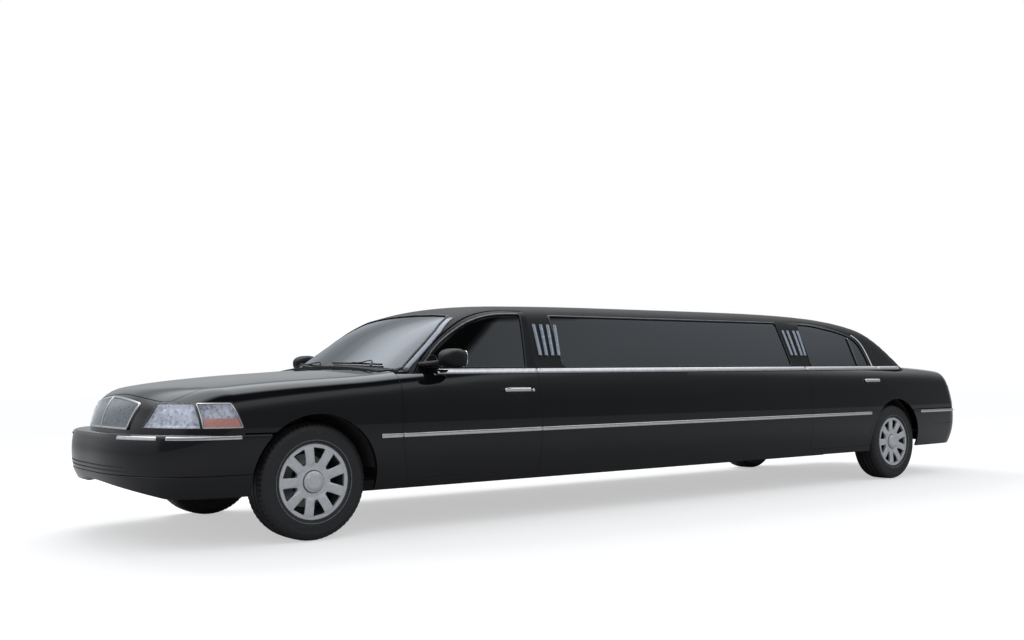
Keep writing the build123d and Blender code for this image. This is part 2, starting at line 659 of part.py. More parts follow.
def partition():
    """Upright panel between the driver and the lounge, with a hatch."""
    lean = ((-860, 332), (860, 332), (860, 990), (700, 1300), (-700, 1300), (-860, 990))
    panel = over_tunnel(front_prism(lean, 1010, 1045))
    return cut(panel, front_prism(((-480, 1000), (480, 1000), (420, 1240), (-420, 1240)), 1000, 1060, 20))


def dashboard():
    """Dash panel across the car, with a pad over the instruments."""
    profile = ((2552, 560), (2552, 915), (2430, 965), (2230, 955), (2120, 870), (2170, 760), (2240, 640))
    return side_prism(profile, corner=24.0, y_from=-790, y_to=790)


WHEEL_Y, COLUMN_LEAN = 370.0, 24.0


def steering_wheel():
    """Rim, spokes and boss square to the leaning column."""
    plane = Plane(origin=(1985, WHEEL_Y, 905), z_dir=(-cos(radians(COLUMN_LEAN)), 0, sin(radians(COLUMN_LEAN))))
    with BuildPart() as wheel:
        with BuildSketch(plane):
            Circle(36)
            for angle in (0, 90, 180):
                with Locations(Rotation(0, 0, angle)):
                    with Locations((95, 0)):
                        Rectangle(190, 26)
        extrude(amount=14)
        with BuildSketch(Plane(origin=plane.origin, x_dir=plane.x_dir, z_dir=plane.y_dir)):
            with Locations((190, 7)):
                Circle(15)
        revolve(axis=Axis(plane.origin, plane.z_dir))
    return wheel.part


# ---------------------------------------------------------------- build
def glass_panes(pane, outer):
    """Curved glass by opening: windscreen, back window and the sides."""
    screen = cut(keep(pane, front_prism(SCREEN, 1800, 3000)), outer)
    back = cut(keep(pane, front_prism(BACKLIGHT, -3600, -2700)), outer)
    return screen, back


def main():
    os.makedirs("parts", exist_ok=True)
    outer, thin, deep = lower_body(), lower_body(SKIN_T), lower_body(60)
    skin, lamp_shell = cut(outer, thin), cut(outer, deep)
    house = greenhouse()
    side_shell = cut(house, greenhouse(SIDE_FRAME_T))
    pane = cut(greenhouse(GLASS_DROP), greenhouse(GLASS_DROP + GLASS_T))
    door_holes = [opening(FRONT_DOOR), opening(REAR_DOOR)]
    top_holes = [opening(FRONT_DOOR_TOP, REAR_GAP), opening(REAR_DOOR_TOP, REAR_GAP)]

    wheels()
    save_pair(knuckle(), "knuckle")
    save(front_suspension(), "front_suspension")
    save(rear_axle(), "rear_axle")
    save(chassis_frame(), "chassis_frame")
    save(driveline(), "driveshaft")
    save(exhaust(), "exhaust")
    save(engine(), "engine")

    save_both(body_side(outer, skin, door_holes), "body_sides")
    save_both(front_fender(skin), "front_fenders")
    save_both(headlamp(lamp_shell), "headlamps")
    save(hood(skin), "hood")
    save(grille(lamp_shell), "grille")
    save(front_bumper(skin, outer), "front_bumper")
    save(rear_bumper(skin, outer), "rear_bumper")
    save(trunk_lid(skin), "trunk_lid")
    save_both(keep(skin, front_prism(TAIL_LAMP, -4400, -3900)), "tail_lamps")
    save(roof(side_shell, outer, top_holes), "roof")
    save(join(keep(underbody(), outer), cowl(skin)), "underbody")

    screen, back = glass_panes(pane, outer)
    save(screen, "windshield")
    save(back, "rear_window")
    left_pane = keep(pane, side_slab(30))
    save_both(keep(left_pane, side_prism(LONG_WINDOW)), "side_windows")
    save_pair(keep(left_pane, side_prism(FRONT_DOOR_GLASS)), "front_door_glass")
    save_pair(keep(left_pane, side_prism(REAR_DOOR_GLASS)), "rear_door_glass")
    save_pair(door(outer, side_shell, FRONT_DOOR, FRONT_DOOR_TOP, FRONT_DOOR_GLASS, []), "front_door")
    arch = [disc(REAR_AXLE_X, ARCH_R, 0, 1100), disc(REAR_AXLE_X, ARCH_R + 34, 0, 930)]
    save_pair(door(outer, side_shell, REAR_DOOR, REAR_DOOR_TOP, REAR_DOOR_GLASS, arch), "rear_door")
    save_pair(mirror_housing(), "mirror")

    save(front_seats(), "front_seats")
    save(lounge_seats(), "lounge_seats")
    save(partition(), "partition")
    save(dashboard(), "dashboard")
    save(steering_wheel(), "steering_wheel")


main()
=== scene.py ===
"""The looks of a stretch limousine, laid over the solids of the shared frame.

Lengths are in metres in the car's own frame: +X forwards, +Y to its left, +Z up, origin on the ground.
"""

import json
import math

import bpy
import numpy as np
from mathutils import Matrix, Vector
from mathutils.geometry import delaunay_2d_cdt

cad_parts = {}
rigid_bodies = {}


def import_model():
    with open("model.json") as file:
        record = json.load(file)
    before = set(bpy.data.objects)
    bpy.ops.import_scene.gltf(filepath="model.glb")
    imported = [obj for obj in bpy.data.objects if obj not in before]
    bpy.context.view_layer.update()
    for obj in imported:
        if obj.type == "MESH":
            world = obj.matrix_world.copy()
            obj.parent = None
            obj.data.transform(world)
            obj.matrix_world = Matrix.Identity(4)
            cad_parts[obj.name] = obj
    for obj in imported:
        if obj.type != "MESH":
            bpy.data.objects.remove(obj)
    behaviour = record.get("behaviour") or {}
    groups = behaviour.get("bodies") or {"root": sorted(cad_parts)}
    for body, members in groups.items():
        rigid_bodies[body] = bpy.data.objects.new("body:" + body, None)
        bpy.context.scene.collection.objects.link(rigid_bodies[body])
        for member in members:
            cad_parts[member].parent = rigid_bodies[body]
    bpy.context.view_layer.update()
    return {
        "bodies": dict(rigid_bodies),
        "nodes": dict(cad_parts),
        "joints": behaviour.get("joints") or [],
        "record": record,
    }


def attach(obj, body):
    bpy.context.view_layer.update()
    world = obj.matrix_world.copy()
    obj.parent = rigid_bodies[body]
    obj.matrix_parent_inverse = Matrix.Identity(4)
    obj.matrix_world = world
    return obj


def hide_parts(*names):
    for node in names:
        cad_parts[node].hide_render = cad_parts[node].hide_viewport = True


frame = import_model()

# ------------------------------------------------------------------ sizes shared by several pieces
FRONT_X, REAR_X = 3.2045, -2.8335  # axles
FRONT_Y, REAR_Y = 0.805, 0.8295  # middle planes of the wheels
TYRE_R = 0.351
ARCH_Z, ARCH_R = 0.355, 0.402  # centre height and radius of the wheel arches
BELT_Z = 1.014
BOTH = ("body", "body")
FRONT_DOORS = ("door_front_left", "door_front_right")
REAR_DOORS = ("door_rear_left", "door_rear_right")


# ------------------------------------------------------------------ curves and surfaces
def natural_spline(xs, ys):
    """A smooth curve through a few points, flat outside them."""
    xs, ys = np.asarray(xs, float), np.asarray(ys, float)
    n, h = len(xs), np.diff(xs)
    a = np.eye(n)
    b = np.zeros(n)
    for i in range(1, n - 1):
        a[i, i - 1:i + 2] = h[i - 1], 2 * (h[i - 1] + h[i]), h[i]
        b[i] = 6 * ((ys[i + 1] - ys[i]) / h[i] - (ys[i] - ys[i - 1]) / h[i - 1])
    m = np.linalg.solve(a, b)

    def curve(x):
        x = np.asarray(x, float)
        t = np.clip(x, xs[0], xs[-1])
        i = np.clip(np.searchsorted(xs, t) - 1, 0, n - 2)
        d, e = t - xs[i], xs[i + 1] - t
        value = (m[i] * e**3 + m[i + 1] * d**3) / (6 * h[i])
        value += (ys[i] / h[i] - m[i] * h[i] / 6) * e + (ys[i + 1] / h[i] - m[i + 1] * h[i] / 6) * d
        first = (ys[1] - ys[0]) / h[0] - m[1] * h[0] / 6 - m[0] * h[0] / 3
        last = (ys[-1] - ys[-2]) / h[-1] + m[-2] * h[-1] / 6 + m[-1] * h[-1] / 3
        return value + np.minimum(x - xs[0], 0) * first + np.maximum(x - xs[-1], 0) * last

    return curve


def smax(a, b, r):
    """The larger of two values with a round corner of about this radius between them."""
    d = np.maximum(r - np.abs(a - b), 0) / r
    return np.maximum(a, b) + d * d * r * 0.25


SIDE = natural_spline((0.22, 0.278, 0.34, 0.42, 0.52, 0.62, 0.72, 0.82, 0.92, 1.014, 1.10),
                      (0.890, 0.928, 0.951, 0.969, 0.984, 0.9905, 0.990, 0.983, 0.969, 0.947, 0.918))
HOOD_LINE = natural_spline((2.5, 2.64, 2.80, 2.95, 3.10, 3.35, 3.55, 3.78, 3.96, 4.07, 4.16),
                           (1.058, 1.046, 1.030, 1.018, 1.008, 0.991, 0.973, 0.946, 0.914, 0.888, 0.862))
DECK_LINE = natural_spline((-4.30, -4.18, -4.08, -3.90, -3.60, -3.30, -3.0),
                           (0.945, 0.984, 1.013, 1.044, 1.071, 1.086, 1.093))
NOSE_LINE = natural_spline((0.60, 0.65, 0.69, 0.76, 0.82, 0.86, 0.90, 0.95),
                           (4.150, 4.146, 4.140, 4.121, 4.098, 4.079, 4.056, 4.02))
BUMPER_LINE = natural_spline((0.28, 0.33, 0.38, 0.44, 0.50, 0.56, 0.61, 0.65),
                             (4.165, 4.200, 4.228, 4.250, 4.2575, 4.2575, 4.252, 4.243))
TAIL_LINE = natural_spline((0.60, 0.66, 0.77, 0.87, 0.95, 1.01, 1.06),
                           (4.226, 4.214, 4.182, 4.142, 4.106, 4.078, 4.055))
REAR_BUMPER_LINE = natural_spline((0.27, 0.33, 0.38, 0.44, 0.50, 0.56, 0.61, 0.65),
                                  (4.165, 4.205, 4.230, 4.250, 4.2575, 4.2575, 4.254, 4.247))


def belt_z(x):
    """Height of the belt line."""
    return BELT_Z - 0.008 * np.asarray(x, float)


def half_width(x, z):
    """Half width of the body, which narrows towards both ends."""
    lift = (belt_z(x) - BELT_Z) * np.clip((z - 0.62) / 0.394, 0, 1)
    front = np.maximum(x - 2.55, 0)
    rear = np.maximum(-2.45 - x, 0)
    return SIDE(z - lift) - 0.0385 * front**2 - 0.029 * rear**2


def top_z(x, y):
    """Height of the hood or the rear deck."""
    line = np.where(x > 0, HOOD_LINE(x), DECK_LINE(x))
    fall = np.where(x > 0, 0.048, 0.050)
    return line - fall * np.abs(y / 0.9) ** 2.3


def nose_x(y, z, line):
    """How far the nose reaches, after its line in side view."""
    return line(z) - 0.034 * np.abs(y / 0.45) ** 3


def tail_x(y, z, line):
    """How far the tail reaches, after its line in side view."""
    return -line(z) + 0.165 * np.abs(y / 0.80) ** 2.8


def lower(p):
    """Negative inside the body below the glass, without the bumpers."""
    x, y, z = p[..., 0], p[..., 1], p[..., 2]
    side = np.abs(y) - half_width(x, z)
    top = z - top_z(x, y)
    nose = x - nose_x(y, z, NOSE_LINE)
    tail = tail_x(y, z, TAIL_LINE) - x
    shoulder = 0.11 + 0.05 * np.clip((x - 3.0) / 1.0, 0, 1)
    f = smax(side, top, shoulder)
    f = smax(f, nose, 0.11)
    return smax(f, tail, 0.10)


def bumper(p):
    """Negative inside the body at the height of the bumpers."""
    x, y, z = p[..., 0], p[..., 1], p[..., 2]
    side = np.abs(y) - half_width(x, z) - 0.002
    nose = x - nose_x(y, z, BUMPER_LINE)
    tail = tail_x(y, z, REAR_BUMPER_LINE) - x
    top = z - 0.652
    f = smax(side, nose, 0.16)
    f = smax(f, tail, 0.16)
    return smax(f, top, 0.022)


ROOF_LINE = natural_spline((-3.4, -3.05, -2.85, -2.60, -2.25, -1.7, -0.6, 0.4, 1.0, 1.70, 2.1, 2.6),
                           (0.93, 1.250, 1.373, 1.452, 1.504, 1.534, 1.5365, 1.524, 1.515, 1.494, 1.473, 1.424))


def house(p):
    """Negative inside the cabin above the belt."""
    x, y, z = p[..., 0], p[..., 1], p[..., 2]
    rise = z - 1.01
    taper = 0.08 * np.clip((x - 1.7) / 0.8, 0, 1.3) ** 2
    side = (np.abs(y) - (0.925 - 0.46 * rise - 0.10 * rise * rise - taper)) * 0.90
    top = z - (ROOF_LINE(x) - 0.020 * (y / 0.6) ** 2)
    screen = (x - (2.840 - 0.24 * y * y - 1.47 * (z - 0.93))) * 0.5625
    back = (-x + (-3.395 + 0.145 * y * y + 1.0 * (z - 0.93))) * 0.70
    f = smax(side, top, 0.105)
    f = smax(f, screen, 0.20)
    return smax(f, back, 0.16)


def cast(f, start, step, reach=1.6):
    """Where rays from inside a body leave it. start and step are arrays of points and directions."""
    low = np.zeros(len(start))
    high = np.full(len(start), reach)
    for _ in range(44):
        mid = (low + high) / 2
        inside = f(start + step * mid[:, None]) < 0
        low = np.where(inside, mid, low)
        high = np.where(inside, high, mid)
    return start + step * ((low + high) / 2)[:, None]


def gradient(f, p):
    """The outward normal of a surface f = 0 at points on it."""
    g = np.zeros_like(p)
    for k, d in enumerate(0.0015 * np.eye(3)):
        g[:, k] = f(p + d) - f(p - d)
    return g / np.maximum(np.linalg.norm(g, axis=1), 1e-9)[:, None]


# ------------------------------------------------------------------ ways to lay panels on them
class Along:
    """Panel coordinates for the flanks: x, and the angle about a line along the car, as an arc length."""

    def __init__(self, f, y0, z0, scale=0.45):
        self.f, self.y0, self.z0, self.k = f, y0, z0, scale

    def to_3d(self, uv):
        a = uv[:, 1] / self.k
        step = np.stack([np.zeros(len(uv)), np.cos(a), np.sin(a)], 1)
        start = np.stack([uv[:, 0], np.full(len(uv), self.y0), np.full(len(uv), self.z0)], 1)
        return cast(self.f, start, step)

    def to_2d(self, p):
        return np.stack([p[:, 0], np.arctan2(p[:, 2] - self.z0, p[:, 1] - self.y0) * self.k], 1)


class Fan:
    """Panel coordinates for lids: y, and the angle about a line across the car."""

    def __init__(self, f, x0, z0, scale=0.5, away=1):
        self.f, self.x0, self.z0, self.k, self.away = f, x0, z0, scale, away

    def to_3d(self, uv):
        a = uv[:, 0] / self.k
        step = np.stack([self.away * np.sin(a), np.zeros(len(uv)), np.cos(a)], 1)
        start = np.stack([np.full(len(uv), self.x0), uv[:, 1], np.full(len(uv), self.z0)], 1)
        return cast(self.f, start, step)

    def to_2d(self, p):
        return np.stack([np.arctan2(self.away * (p[:, 0] - self.x0), p[:, 2] - self.z0) * self.k, p[:, 1]], 1)


class Round:
    """Panel coordinates for the ends: the angle about an upright line, and z. away is -1 at the rear."""

    def __init__(self, f, x0, y0=0.0, scale=0.8, away=1):
        self.f, self.x0, self.y0, self.k, self.away = f, x0, y0, scale, away

    def outwards(self, a):
        """Level unit vectors at angles about the upright line."""
        return np.stack([self.away * np.cos(a), np.sin(a), np.zeros(len(a))], 1)

    def to_3d(self, uv):
        start = np.stack([np.full(len(uv), self.x0), np.full(len(uv), self.y0), uv[:, 1]], 1)
        return cast(self.f, start, self.outwards(uv[:, 0] / self.k))

    def to_2d(self, p):
        return np.stack([np.arctan2(p[:, 1] - self.y0, self.away * (p[:, 0] - self.x0)) * self.k, p[:, 2]], 1)

    def level(self, us, z):
        """Points on the surface at one height."""
        return self.to_3d(np.stack([us, np.full(len(us), z)], 1))


class Cabin:
    """Panel coordinates for the greenhouse: stations along the car that fan out at both ends, and the angle."""

    f = staticmethod(house)
    front, rear, z0, k, kp = 1.55, -2.25, 0.86, 0.62, 0.75

    def to_3d(self, uv):
        u, phi = uv[:, 0], uv[:, 1] / self.kp
        x0 = np.clip(u, self.rear, self.front)
        a = (u - x0) / self.k
        step = np.stack([np.sin(a), np.cos(a) * np.cos(phi), np.cos(a) * np.sin(phi)], 1)
        start = np.stack([x0, np.zeros(len(u)), np.full(len(u), self.z0)], 1)
        return cast(self.f, start, step)

    def to_2d(self, p):
        x0 = np.clip(p[:, 0], self.rear, self.front)
        a = np.arctan2(p[:, 0] - x0, np.hypot(p[:, 1], p[:, 2] - self.z0))
        return np.stack([x0 + a * self.k, np.arctan2(p[:, 2] - self.z0, p[:, 1]) * self.kp], 1)


VIEWS = {"side": ((0, 2), 1, 0.25, 1.0), "top": ((0, 1), 2, 0.60, 1.0), "front": ((1, 2), 0, 1.2, 1.0),
         "rear": ((1, 2), 0, -1.9, -1.0)}


def shoot(f, points, plane):
    """Puts outline points that are given in side (xz), front (yz), rear (yz) or top (xy) view on a surface."""
    pts = np.asarray(points, float)
    axes, depth, origin, sense = VIEWS[plane]
    start, step = np.full((len(pts), 3), origin), np.zeros((len(pts), 3))
    start[:, axes] = pts
    step[:, depth] = sense
    return cast(f, start, step, 3.4)


def dense(points, step, closed=True):
    """The same outline with a point at least every step."""
    pts = np.asarray(points, float)
    nxt = np.roll(pts, -1, axis=0) if closed else pts[1:]
    out = []
    for a, b in zip(pts if closed else pts[:-1], nxt):
        n = max(1, int(math.ceil(np.linalg.norm(b - a) / step)))
        out += [a + (b - a) * i / n for i in range(n)]
    if not closed:
        out.append(pts[-1])
    return np.array(out)


def rounded(points, radius):
    """A closed outline with each corner rounded. radius is one number or one for each corner."""
    pts = [np.asarray(p, float) for p in points]
    radii = [radius] * len(pts) if np.isscalar(radius) else radius
    out = []
    for i, p in enumerate(pts):
        a, b, r = pts[i - 1], pts[(i + 1) % len(pts)], radii[i]
        if r <= 0:
            out.append(p)
            continue
        da, db = a - p, b - p
        la, lb = np.linalg.norm(da), np.linalg.norm(db)
        angle = math.acos(max(-1, min(1, float(da @ db / (la * lb)))))
        t = min(r / max(math.tan(angle / 2), 1e-6), 0.49 * la, 0.49 * lb)
        s, e = p + da / la * t, p + db / lb * t
        for w in np.arange(7) / 6:
            out.append((1 - w) ** 2 * s + 2 * w * (1 - w) * p + w * w * e)
    return np.array(out)


def inside(points, poly):
    """Which points lie in a closed outline."""
    x, y = points[:, 0], points[:, 1]
    hit = np.zeros(len(points), bool)
    px, py = poly[:, 0], poly[:, 1]
    qx, qy = np.roll(px, -1), np.roll(py, -1)
    for ax, ay, bx, by in zip(px, py, qx, qy):
        if ay == by:
            continue
        cond = (ay > y) != (by > y)
        hit ^= cond & (x < (bx - ax) * (y - ay) / (by - ay) + ax)
    return hit


def edge_distance(points, poly):
    """Distance of points from a closed outline."""
    best = np.full(len(points), 1e9)
    for a, b in zip(poly, np.roll(poly, -1, axis=0)):
        d = b - a
        t = np.clip(((points - a) @ d) / max(d @ d, 1e-12), 0, 1)
        best = np.minimum(best, np.linalg.norm(points - a - t[:, None] * d, axis=1))
    return best


def fill(outline, holes, grid):
    """Triangles inside an outline and outside its holes, with evenly spaced points between."""
    loops = [np.asarray(outline)] + [np.asarray(h) for h in holes]
    low, high = loops[0].min(0), loops[0].max(0)
    nx, ny = max(2, int((high[0] - low[0]) / grid) + 1), max(2, int((high[1] - low[1]) / grid) + 1)
    gx, gy = np.meshgrid(np.linspace(low[0], high[0], nx), np.linspace(low[1], high[1], ny))
    cand = np.stack([gx.ravel(), gy.ravel()], 1)
    ok = inside(cand, loops[0]) & (edge_distance(cand, loops[0]) > 0.45 * grid)
    for h in loops[1:]:
        ok &= ~inside(cand, h) & (edge_distance(cand, h) > 0.45 * grid)
    pts, edges, at = [], [], 0
    for loop in loops:
        pts += [tuple(p) for p in loop]
        edges += [(at + i, at + (i + 1) % len(loop)) for i in range(len(loop))]
        at += len(loop)
    pts += [tuple(p) for p in cand[ok]]
    verts, _, faces, _, _, _ = delaunay_2d_cdt([Vector(p) for p in pts], edges, [], 0, 1e-7)
    uv = np.array([v[:] for v in verts])
    tri = np.array([f[:3] for f in faces if len(f) == 3])
    mid = uv[tri].mean(1)
    good = inside(mid, loops[0])
    for h in loops[1:]:
        good &= ~inside(mid, h)
    tri = tri[good]
    area = np.cross(uv[tri[:, 1]] - uv[tri[:, 0]], uv[tri[:, 2]] - uv[tri[:, 0]])
    tri = tri[np.abs(area) > 1e-10]
    return uv, tri


def boundary(tri):
    """Directed edges that only one triangle has."""
    seen = {}
    for t in tri:
        for a, b in ((t[0], t[1]), (t[1], t[2]), (t[2], t[0])):
            if (b, a) in seen:
                del seen[(b, a)]
            else:
                seen[(a, b)] = True
    return list(seen)


# ------------------------------------------------------------------ meshes
def new_object(name, verts, faces, mat, body, normals=None, smooth=True):
    mesh = bpy.data.meshes.new(name)
    mesh.from_pydata([tuple(v) for v in verts], [], [tuple(int(i) for i in f) for f in faces])
    mesh.update()
    obj = bpy.data.objects.new(name, mesh)
    bpy.context.scene.collection.objects.link(obj)
    if smooth:
        mesh.polygons.foreach_set("use_smooth", [True] * len(mesh.polygons))
    mesh.materials.append(mat)
    if normals is not None:
        mesh.normals_split_custom_set_from_vertices([tuple(n) for n in normals])
    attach(obj, body)
    return obj


def mirrored(verts, faces, normals=None):
    """The same piece on the car's other side."""
    v = np.array(verts, float) * (1, -1, 1)
    f = [tuple(reversed(t)) for t in faces]
    n = None if normals is None else np.array(normals, float) * (1, -1, 1)
    return v, f, n


def pieces(name, mat, bodies, shape, smooth=True, replaces=()):
    """One piece if bodies is a body's name, or a left piece and its mirror image if it is a pair of names.

    shape holds vertices, faces and, where the piece brings its own, normals. replaces goes as bodies does."""
    ends = ("_left", "_right")
    if isinstance(bodies, str):
        ends, bodies, replaces = ("",), (bodies,), (replaces,) if replaces else ()
    made = []
    for k, end in enumerate(ends):
        verts, faces, *normals = shape if k == 0 else mirrored(*shape)
        made.append(new_object(name + end, verts, faces, mat, bodies[k], normals[0] if normals else None, smooth))
        if replaces:
            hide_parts(replaces[k])
    return made


class Shape:
    """Vertices, faces and normals that are gathered before they become one object."""

    def __init__(self):
        self.v, self.f, self.n = [], [], []

    def add(self, verts, faces, normals=None):
        at = len(self.v)
        self.v += [tuple(p) for p in verts]
        self.f += [tuple(int(i) + at for i in f) for f in faces]
        self.n += [tuple(p) for p in (normals if normals is not None else np.zeros((len(verts), 3)))]
        return self

    def make(self, name, mat, bodies, slot, sharp=40, replaces=()):
        """Makes the piece or pair with edges above an angle sharp, or with its own normals where sharp is None."""
        shape = (np.array(self.v), self.f) + ((np.array(self.n),) if sharp is None else ())
        made = pieces(name, mat, bodies, shape, replaces=replaces)
        if sharp:
            for obj in made:
                obj.data.set_sharp_from_angle(angle=math.radians(sharp))
        return made


def sheet_shape(frame2d, outline3d, holes3d=(), grid=0.024, thick=0.012, lift=0.0, step=0.012, lip=0.0022):
    """A panel on a surface: outer skin, rounded lip, edge and inner skin. outline3d holds points on the surface."""
    f = frame2d.f
    outline = dense(frame2d.to_2d(np.asarray(outline3d)), step)
    holes = [dense(frame2d.to_2d(np.asarray(h)), step) for h in holes3d]
    uv, tri = fill(outline, holes, grid)
    p = frame2d.to_3d(uv)
    n = gradient(f, p)
    p = p + n * lift
    flip = np.einsum("ij,ij->i", np.cross(p[tri[:, 1]] - p[tri[:, 0]], p[tri[:, 2]] - p[tri[:, 0]]), n[tri[:, 0]]) < 0
    tri[flip] = tri[flip][:, ::-1]
    edges = boundary(tri)
    count = len(p)
    verts, norms, faces = [*map(tuple, p)], [*map(tuple, n)], [tuple(t) for t in tri]
    ring = sorted({a for e in edges for a in e})
    side = np.zeros((count, 3))
    for a, b in edges:
        out = np.cross(p[b] - p[a], n[a])
        length = np.linalg.norm(out)
        if length > 1e-12:
            side[a] += out / length
            side[b] += out / length
    side /= np.maximum(np.linalg.norm(side, axis=1), 1e-9)[:, None]

    def row(points, normals):
        """Adds one row of vertices round the edge, from points and normals for every vertex of the skin."""
        at = {i: len(verts) + k for k, i in enumerate(ring)}
        verts.extend(tuple(points[i]) for i in ring)
        norms.extend(tuple(normals[i]) for i in ring)
        return at

    bends = [row(p + side * lip * math.sin(a) - n * lip * (1 - math.cos(a)), n * math.cos(a) + side * math.sin(a))
             for a in (math.pi / 4, math.pi / 2)]
    walls = [row(p + side * lip - n * depth, side) for depth in (lip, thick)]
    for a, b in edges:
        faces.append((a, bends[0][a], bends[0][b]))
        faces.append((a, bends[0][b], b))
        for r0, r1 in (bends, walls):
            faces.append((r0[a], r1[a], r1[b], r0[b]))
    at = len(verts)
    verts.extend(map(tuple, p - n * thick))
    norms.extend(map(tuple, -n))
    faces.extend((at + t[2], at + t[1], at + t[0]) for t in tri)
    low = row(p + side * lip - n * thick, -n)
    faces.extend((low[a], at + a, at + b, low[b]) for a, b in edges)
    return np.array(verts), faces, np.array(norms)


def panel(name, mat, bodies, frame2d, outline3d, holes3d=(), slot="body_black", replaces=(), **more):
    """A panel on a surface, as one piece or as a pair."""
    return pieces(name, mat, bodies, sheet_shape(frame2d, outline3d, holes3d, **more), replaces=replaces)


def sweep(path, up, profile, closed=False):
    """A strip with a profile of (across, out) points along a path; up is the out direction at each point."""
    path, up = np.asarray(path, float), np.asarray(up, float)
    n, m = len(path), len(profile)
    if closed:
        along = np.roll(path, -1, 0) - np.roll(path, 1, 0)
    else:
        along = np.gradient(path, axis=0)
    along /= np.maximum(np.linalg.norm(along, axis=1), 1e-9)[:, None]
    across = np.cross(up, along)
    across /= np.maximum(np.linalg.norm(across, axis=1), 1e-9)[:, None]
    out = np.cross(along, across)
    verts = [path[i] + across[i] * a + out[i] * o for i in range(n) for a, o in profile]
    faces = []
    for i in range(n if closed else n - 1):
        j = (i + 1) % n
        for k in range(m):
            l = (k + 1) % m
            faces.append((i * m + k, i * m + l, j * m + l, j * m + k))
    if not closed:
        faces.append(tuple(range(m - 1, -1, -1)))
        faces.append(tuple((n - 1) * m + k for k in range(m)))
    return np.array(verts), faces


def half_round(width, height, base=0.002):
    """Profile of a trim strip: a crowned face over a short base."""
    pts = []
    for t in math.pi * np.arange(9) / 8:
        c = math.cos(t)
        a = width / 2 * math.copysign(abs(c) ** 0.75, c)
        pts.append((a, height * math.sin(t) ** 0.35 if 0 < t < math.pi else 0.0))
    return pts + [(-width / 2, -base), (width / 2, -base)]


def bar(foot, top, low, high):
    """Profile of a bar with flat faces: half widths at its foot and top, and the heights of the two."""
    return [(-foot, low), (foot, low), (top, high), (-top, high)]


def lathe(profile, segments=96):
    """A solid of revolution from (radius, along) points about the wheel's own axis."""
    verts, faces, m = [], [], len(profile)
    for i in range(segments):
        a = 2 * math.pi * i / segments
        verts += [(r * math.cos(a), y, r * math.sin(a)) for r, y in profile]
        j = (i + 1) % segments
        faces += [(i * m + k, i * m + (k + 1) % m, j * m + (k + 1) % m, j * m + k) for k in range(m)]
    return np.array(verts), faces


def tube(rows):
    """A closed tube through rows of points of one length, with a cap at each end."""
    m, n = len(rows), len(rows[0])
    faces = [((r + 1) % m * n + i, (r + 1) % m * n + i + 1, r * n + i + 1, r * n + i)[::-1]
             for r in range(m) for i in range(n - 1)]
    caps = [tuple(r * n for r in range(m)), tuple(r * n + n - 1 for r in range(m - 1, -1, -1))]
    return np.concatenate(rows), faces + caps


def surface_path(f, points, plane, step=0.02, closed=False, lift=0.0):
    """Points on a surface along an outline given in a view, with the surface's normals."""
    p = shoot(f, dense(points, step, closed), plane)
    n = gradient(f, p)
    return p + n * lift, n


def upwards(path):
    """The upright direction for every point of a path."""
    return np.tile([0.0, 0.0, 1.0], (len(path), 1))


# ------------------------------------------------------------------ materials
def material(name):
    mat = bpy.data.materials.new(name)
    mat.use_nodes = True
    tree = mat.node_tree
    return mat, tree, tree.nodes["Principled BSDF"]


def link(tree, a, out, b, into):
    tree.links.new(a.outputs[out], b.inputs[into])


def tune(shader, **values):
    """Sets inputs of a node; an underscore in a name stands for a space."""
    for name, value in values.items():
        shader.inputs[name.replace("_", " ")].default_value = value
    return shader


def node(tree, kind, **values):
    return tune(tree.nodes.new("ShaderNode" + kind), **values)


def noise(tree, scale, detail=4.0):
    """A noise texture in the object's own space."""
    tex = node(tree, "TexNoise", Scale=scale, Detail=detail, Roughness=0.55)
    link(tree, node(tree, "TexCoord"), "Object", tex, "Vector")
    return tex


def cells(tree, scale):
    """A net of small irregular cells in the object's own space."""
    tex = node(tree, "TexVoronoi", Scale=scale)
    link(tree, node(tree, "TexCoord"), "Object", tex, "Vector")
    return tex


def ramp(tree, source, out, stops):
    """A ramp over a texture. A stop is a position and a colour or a grey level."""
    made = node(tree, "ValToRGB")
    while len(made.color_ramp.elements) < len(stops):
        made.color_ramp.elements.new(0.5)
    for element, (at, colour) in zip(made.color_ramp.elements, stops):
        element.position = at
        element.color = (*colour, 1) if np.ndim(colour) else (colour, colour, colour, 1)
    link(tree, source, out, made, "Fac")
    return made


def drive(tree, source, out, shader, into, *stops):
    """Lets a texture drive one input of a shader through a ramp."""
    link(tree, ramp(tree, source, out, stops), "Color", shader, into)


def bump(tree, source, out, shader, strength, distance=0.001):
    relief = node(tree, "Bump", Strength=strength, Distance=distance)
    link(tree, source, out, relief, "Height")
    link(tree, relief, "Normal", shader, "Normal")


def calc(tree, operation, *terms):
    """A math node; each term is a number, or a node with the name of its output."""
    made = node(tree, "Math")
    made.operation = operation
    for k, term in enumerate(terms):
        if isinstance(term, tuple):
            link(tree, *term, made, k)
        else:
            made.inputs[k].default_value = term
    return made


def mix_colours(tree, factor, low, high):
    """A mix of two colours. Each part is a colour, or a node with its output; gives a node with its output too."""
    made = node(tree, "Mix")
    made.data_type = "RGBA"
    link(tree, *factor, made, 0)
    for k, part in ((6, low), (7, high)):
        if len(part) == 2:
            link(tree, *part, made, k)
        else:
            made.inputs[k].default_value = (*part, 1)
    return made, 2


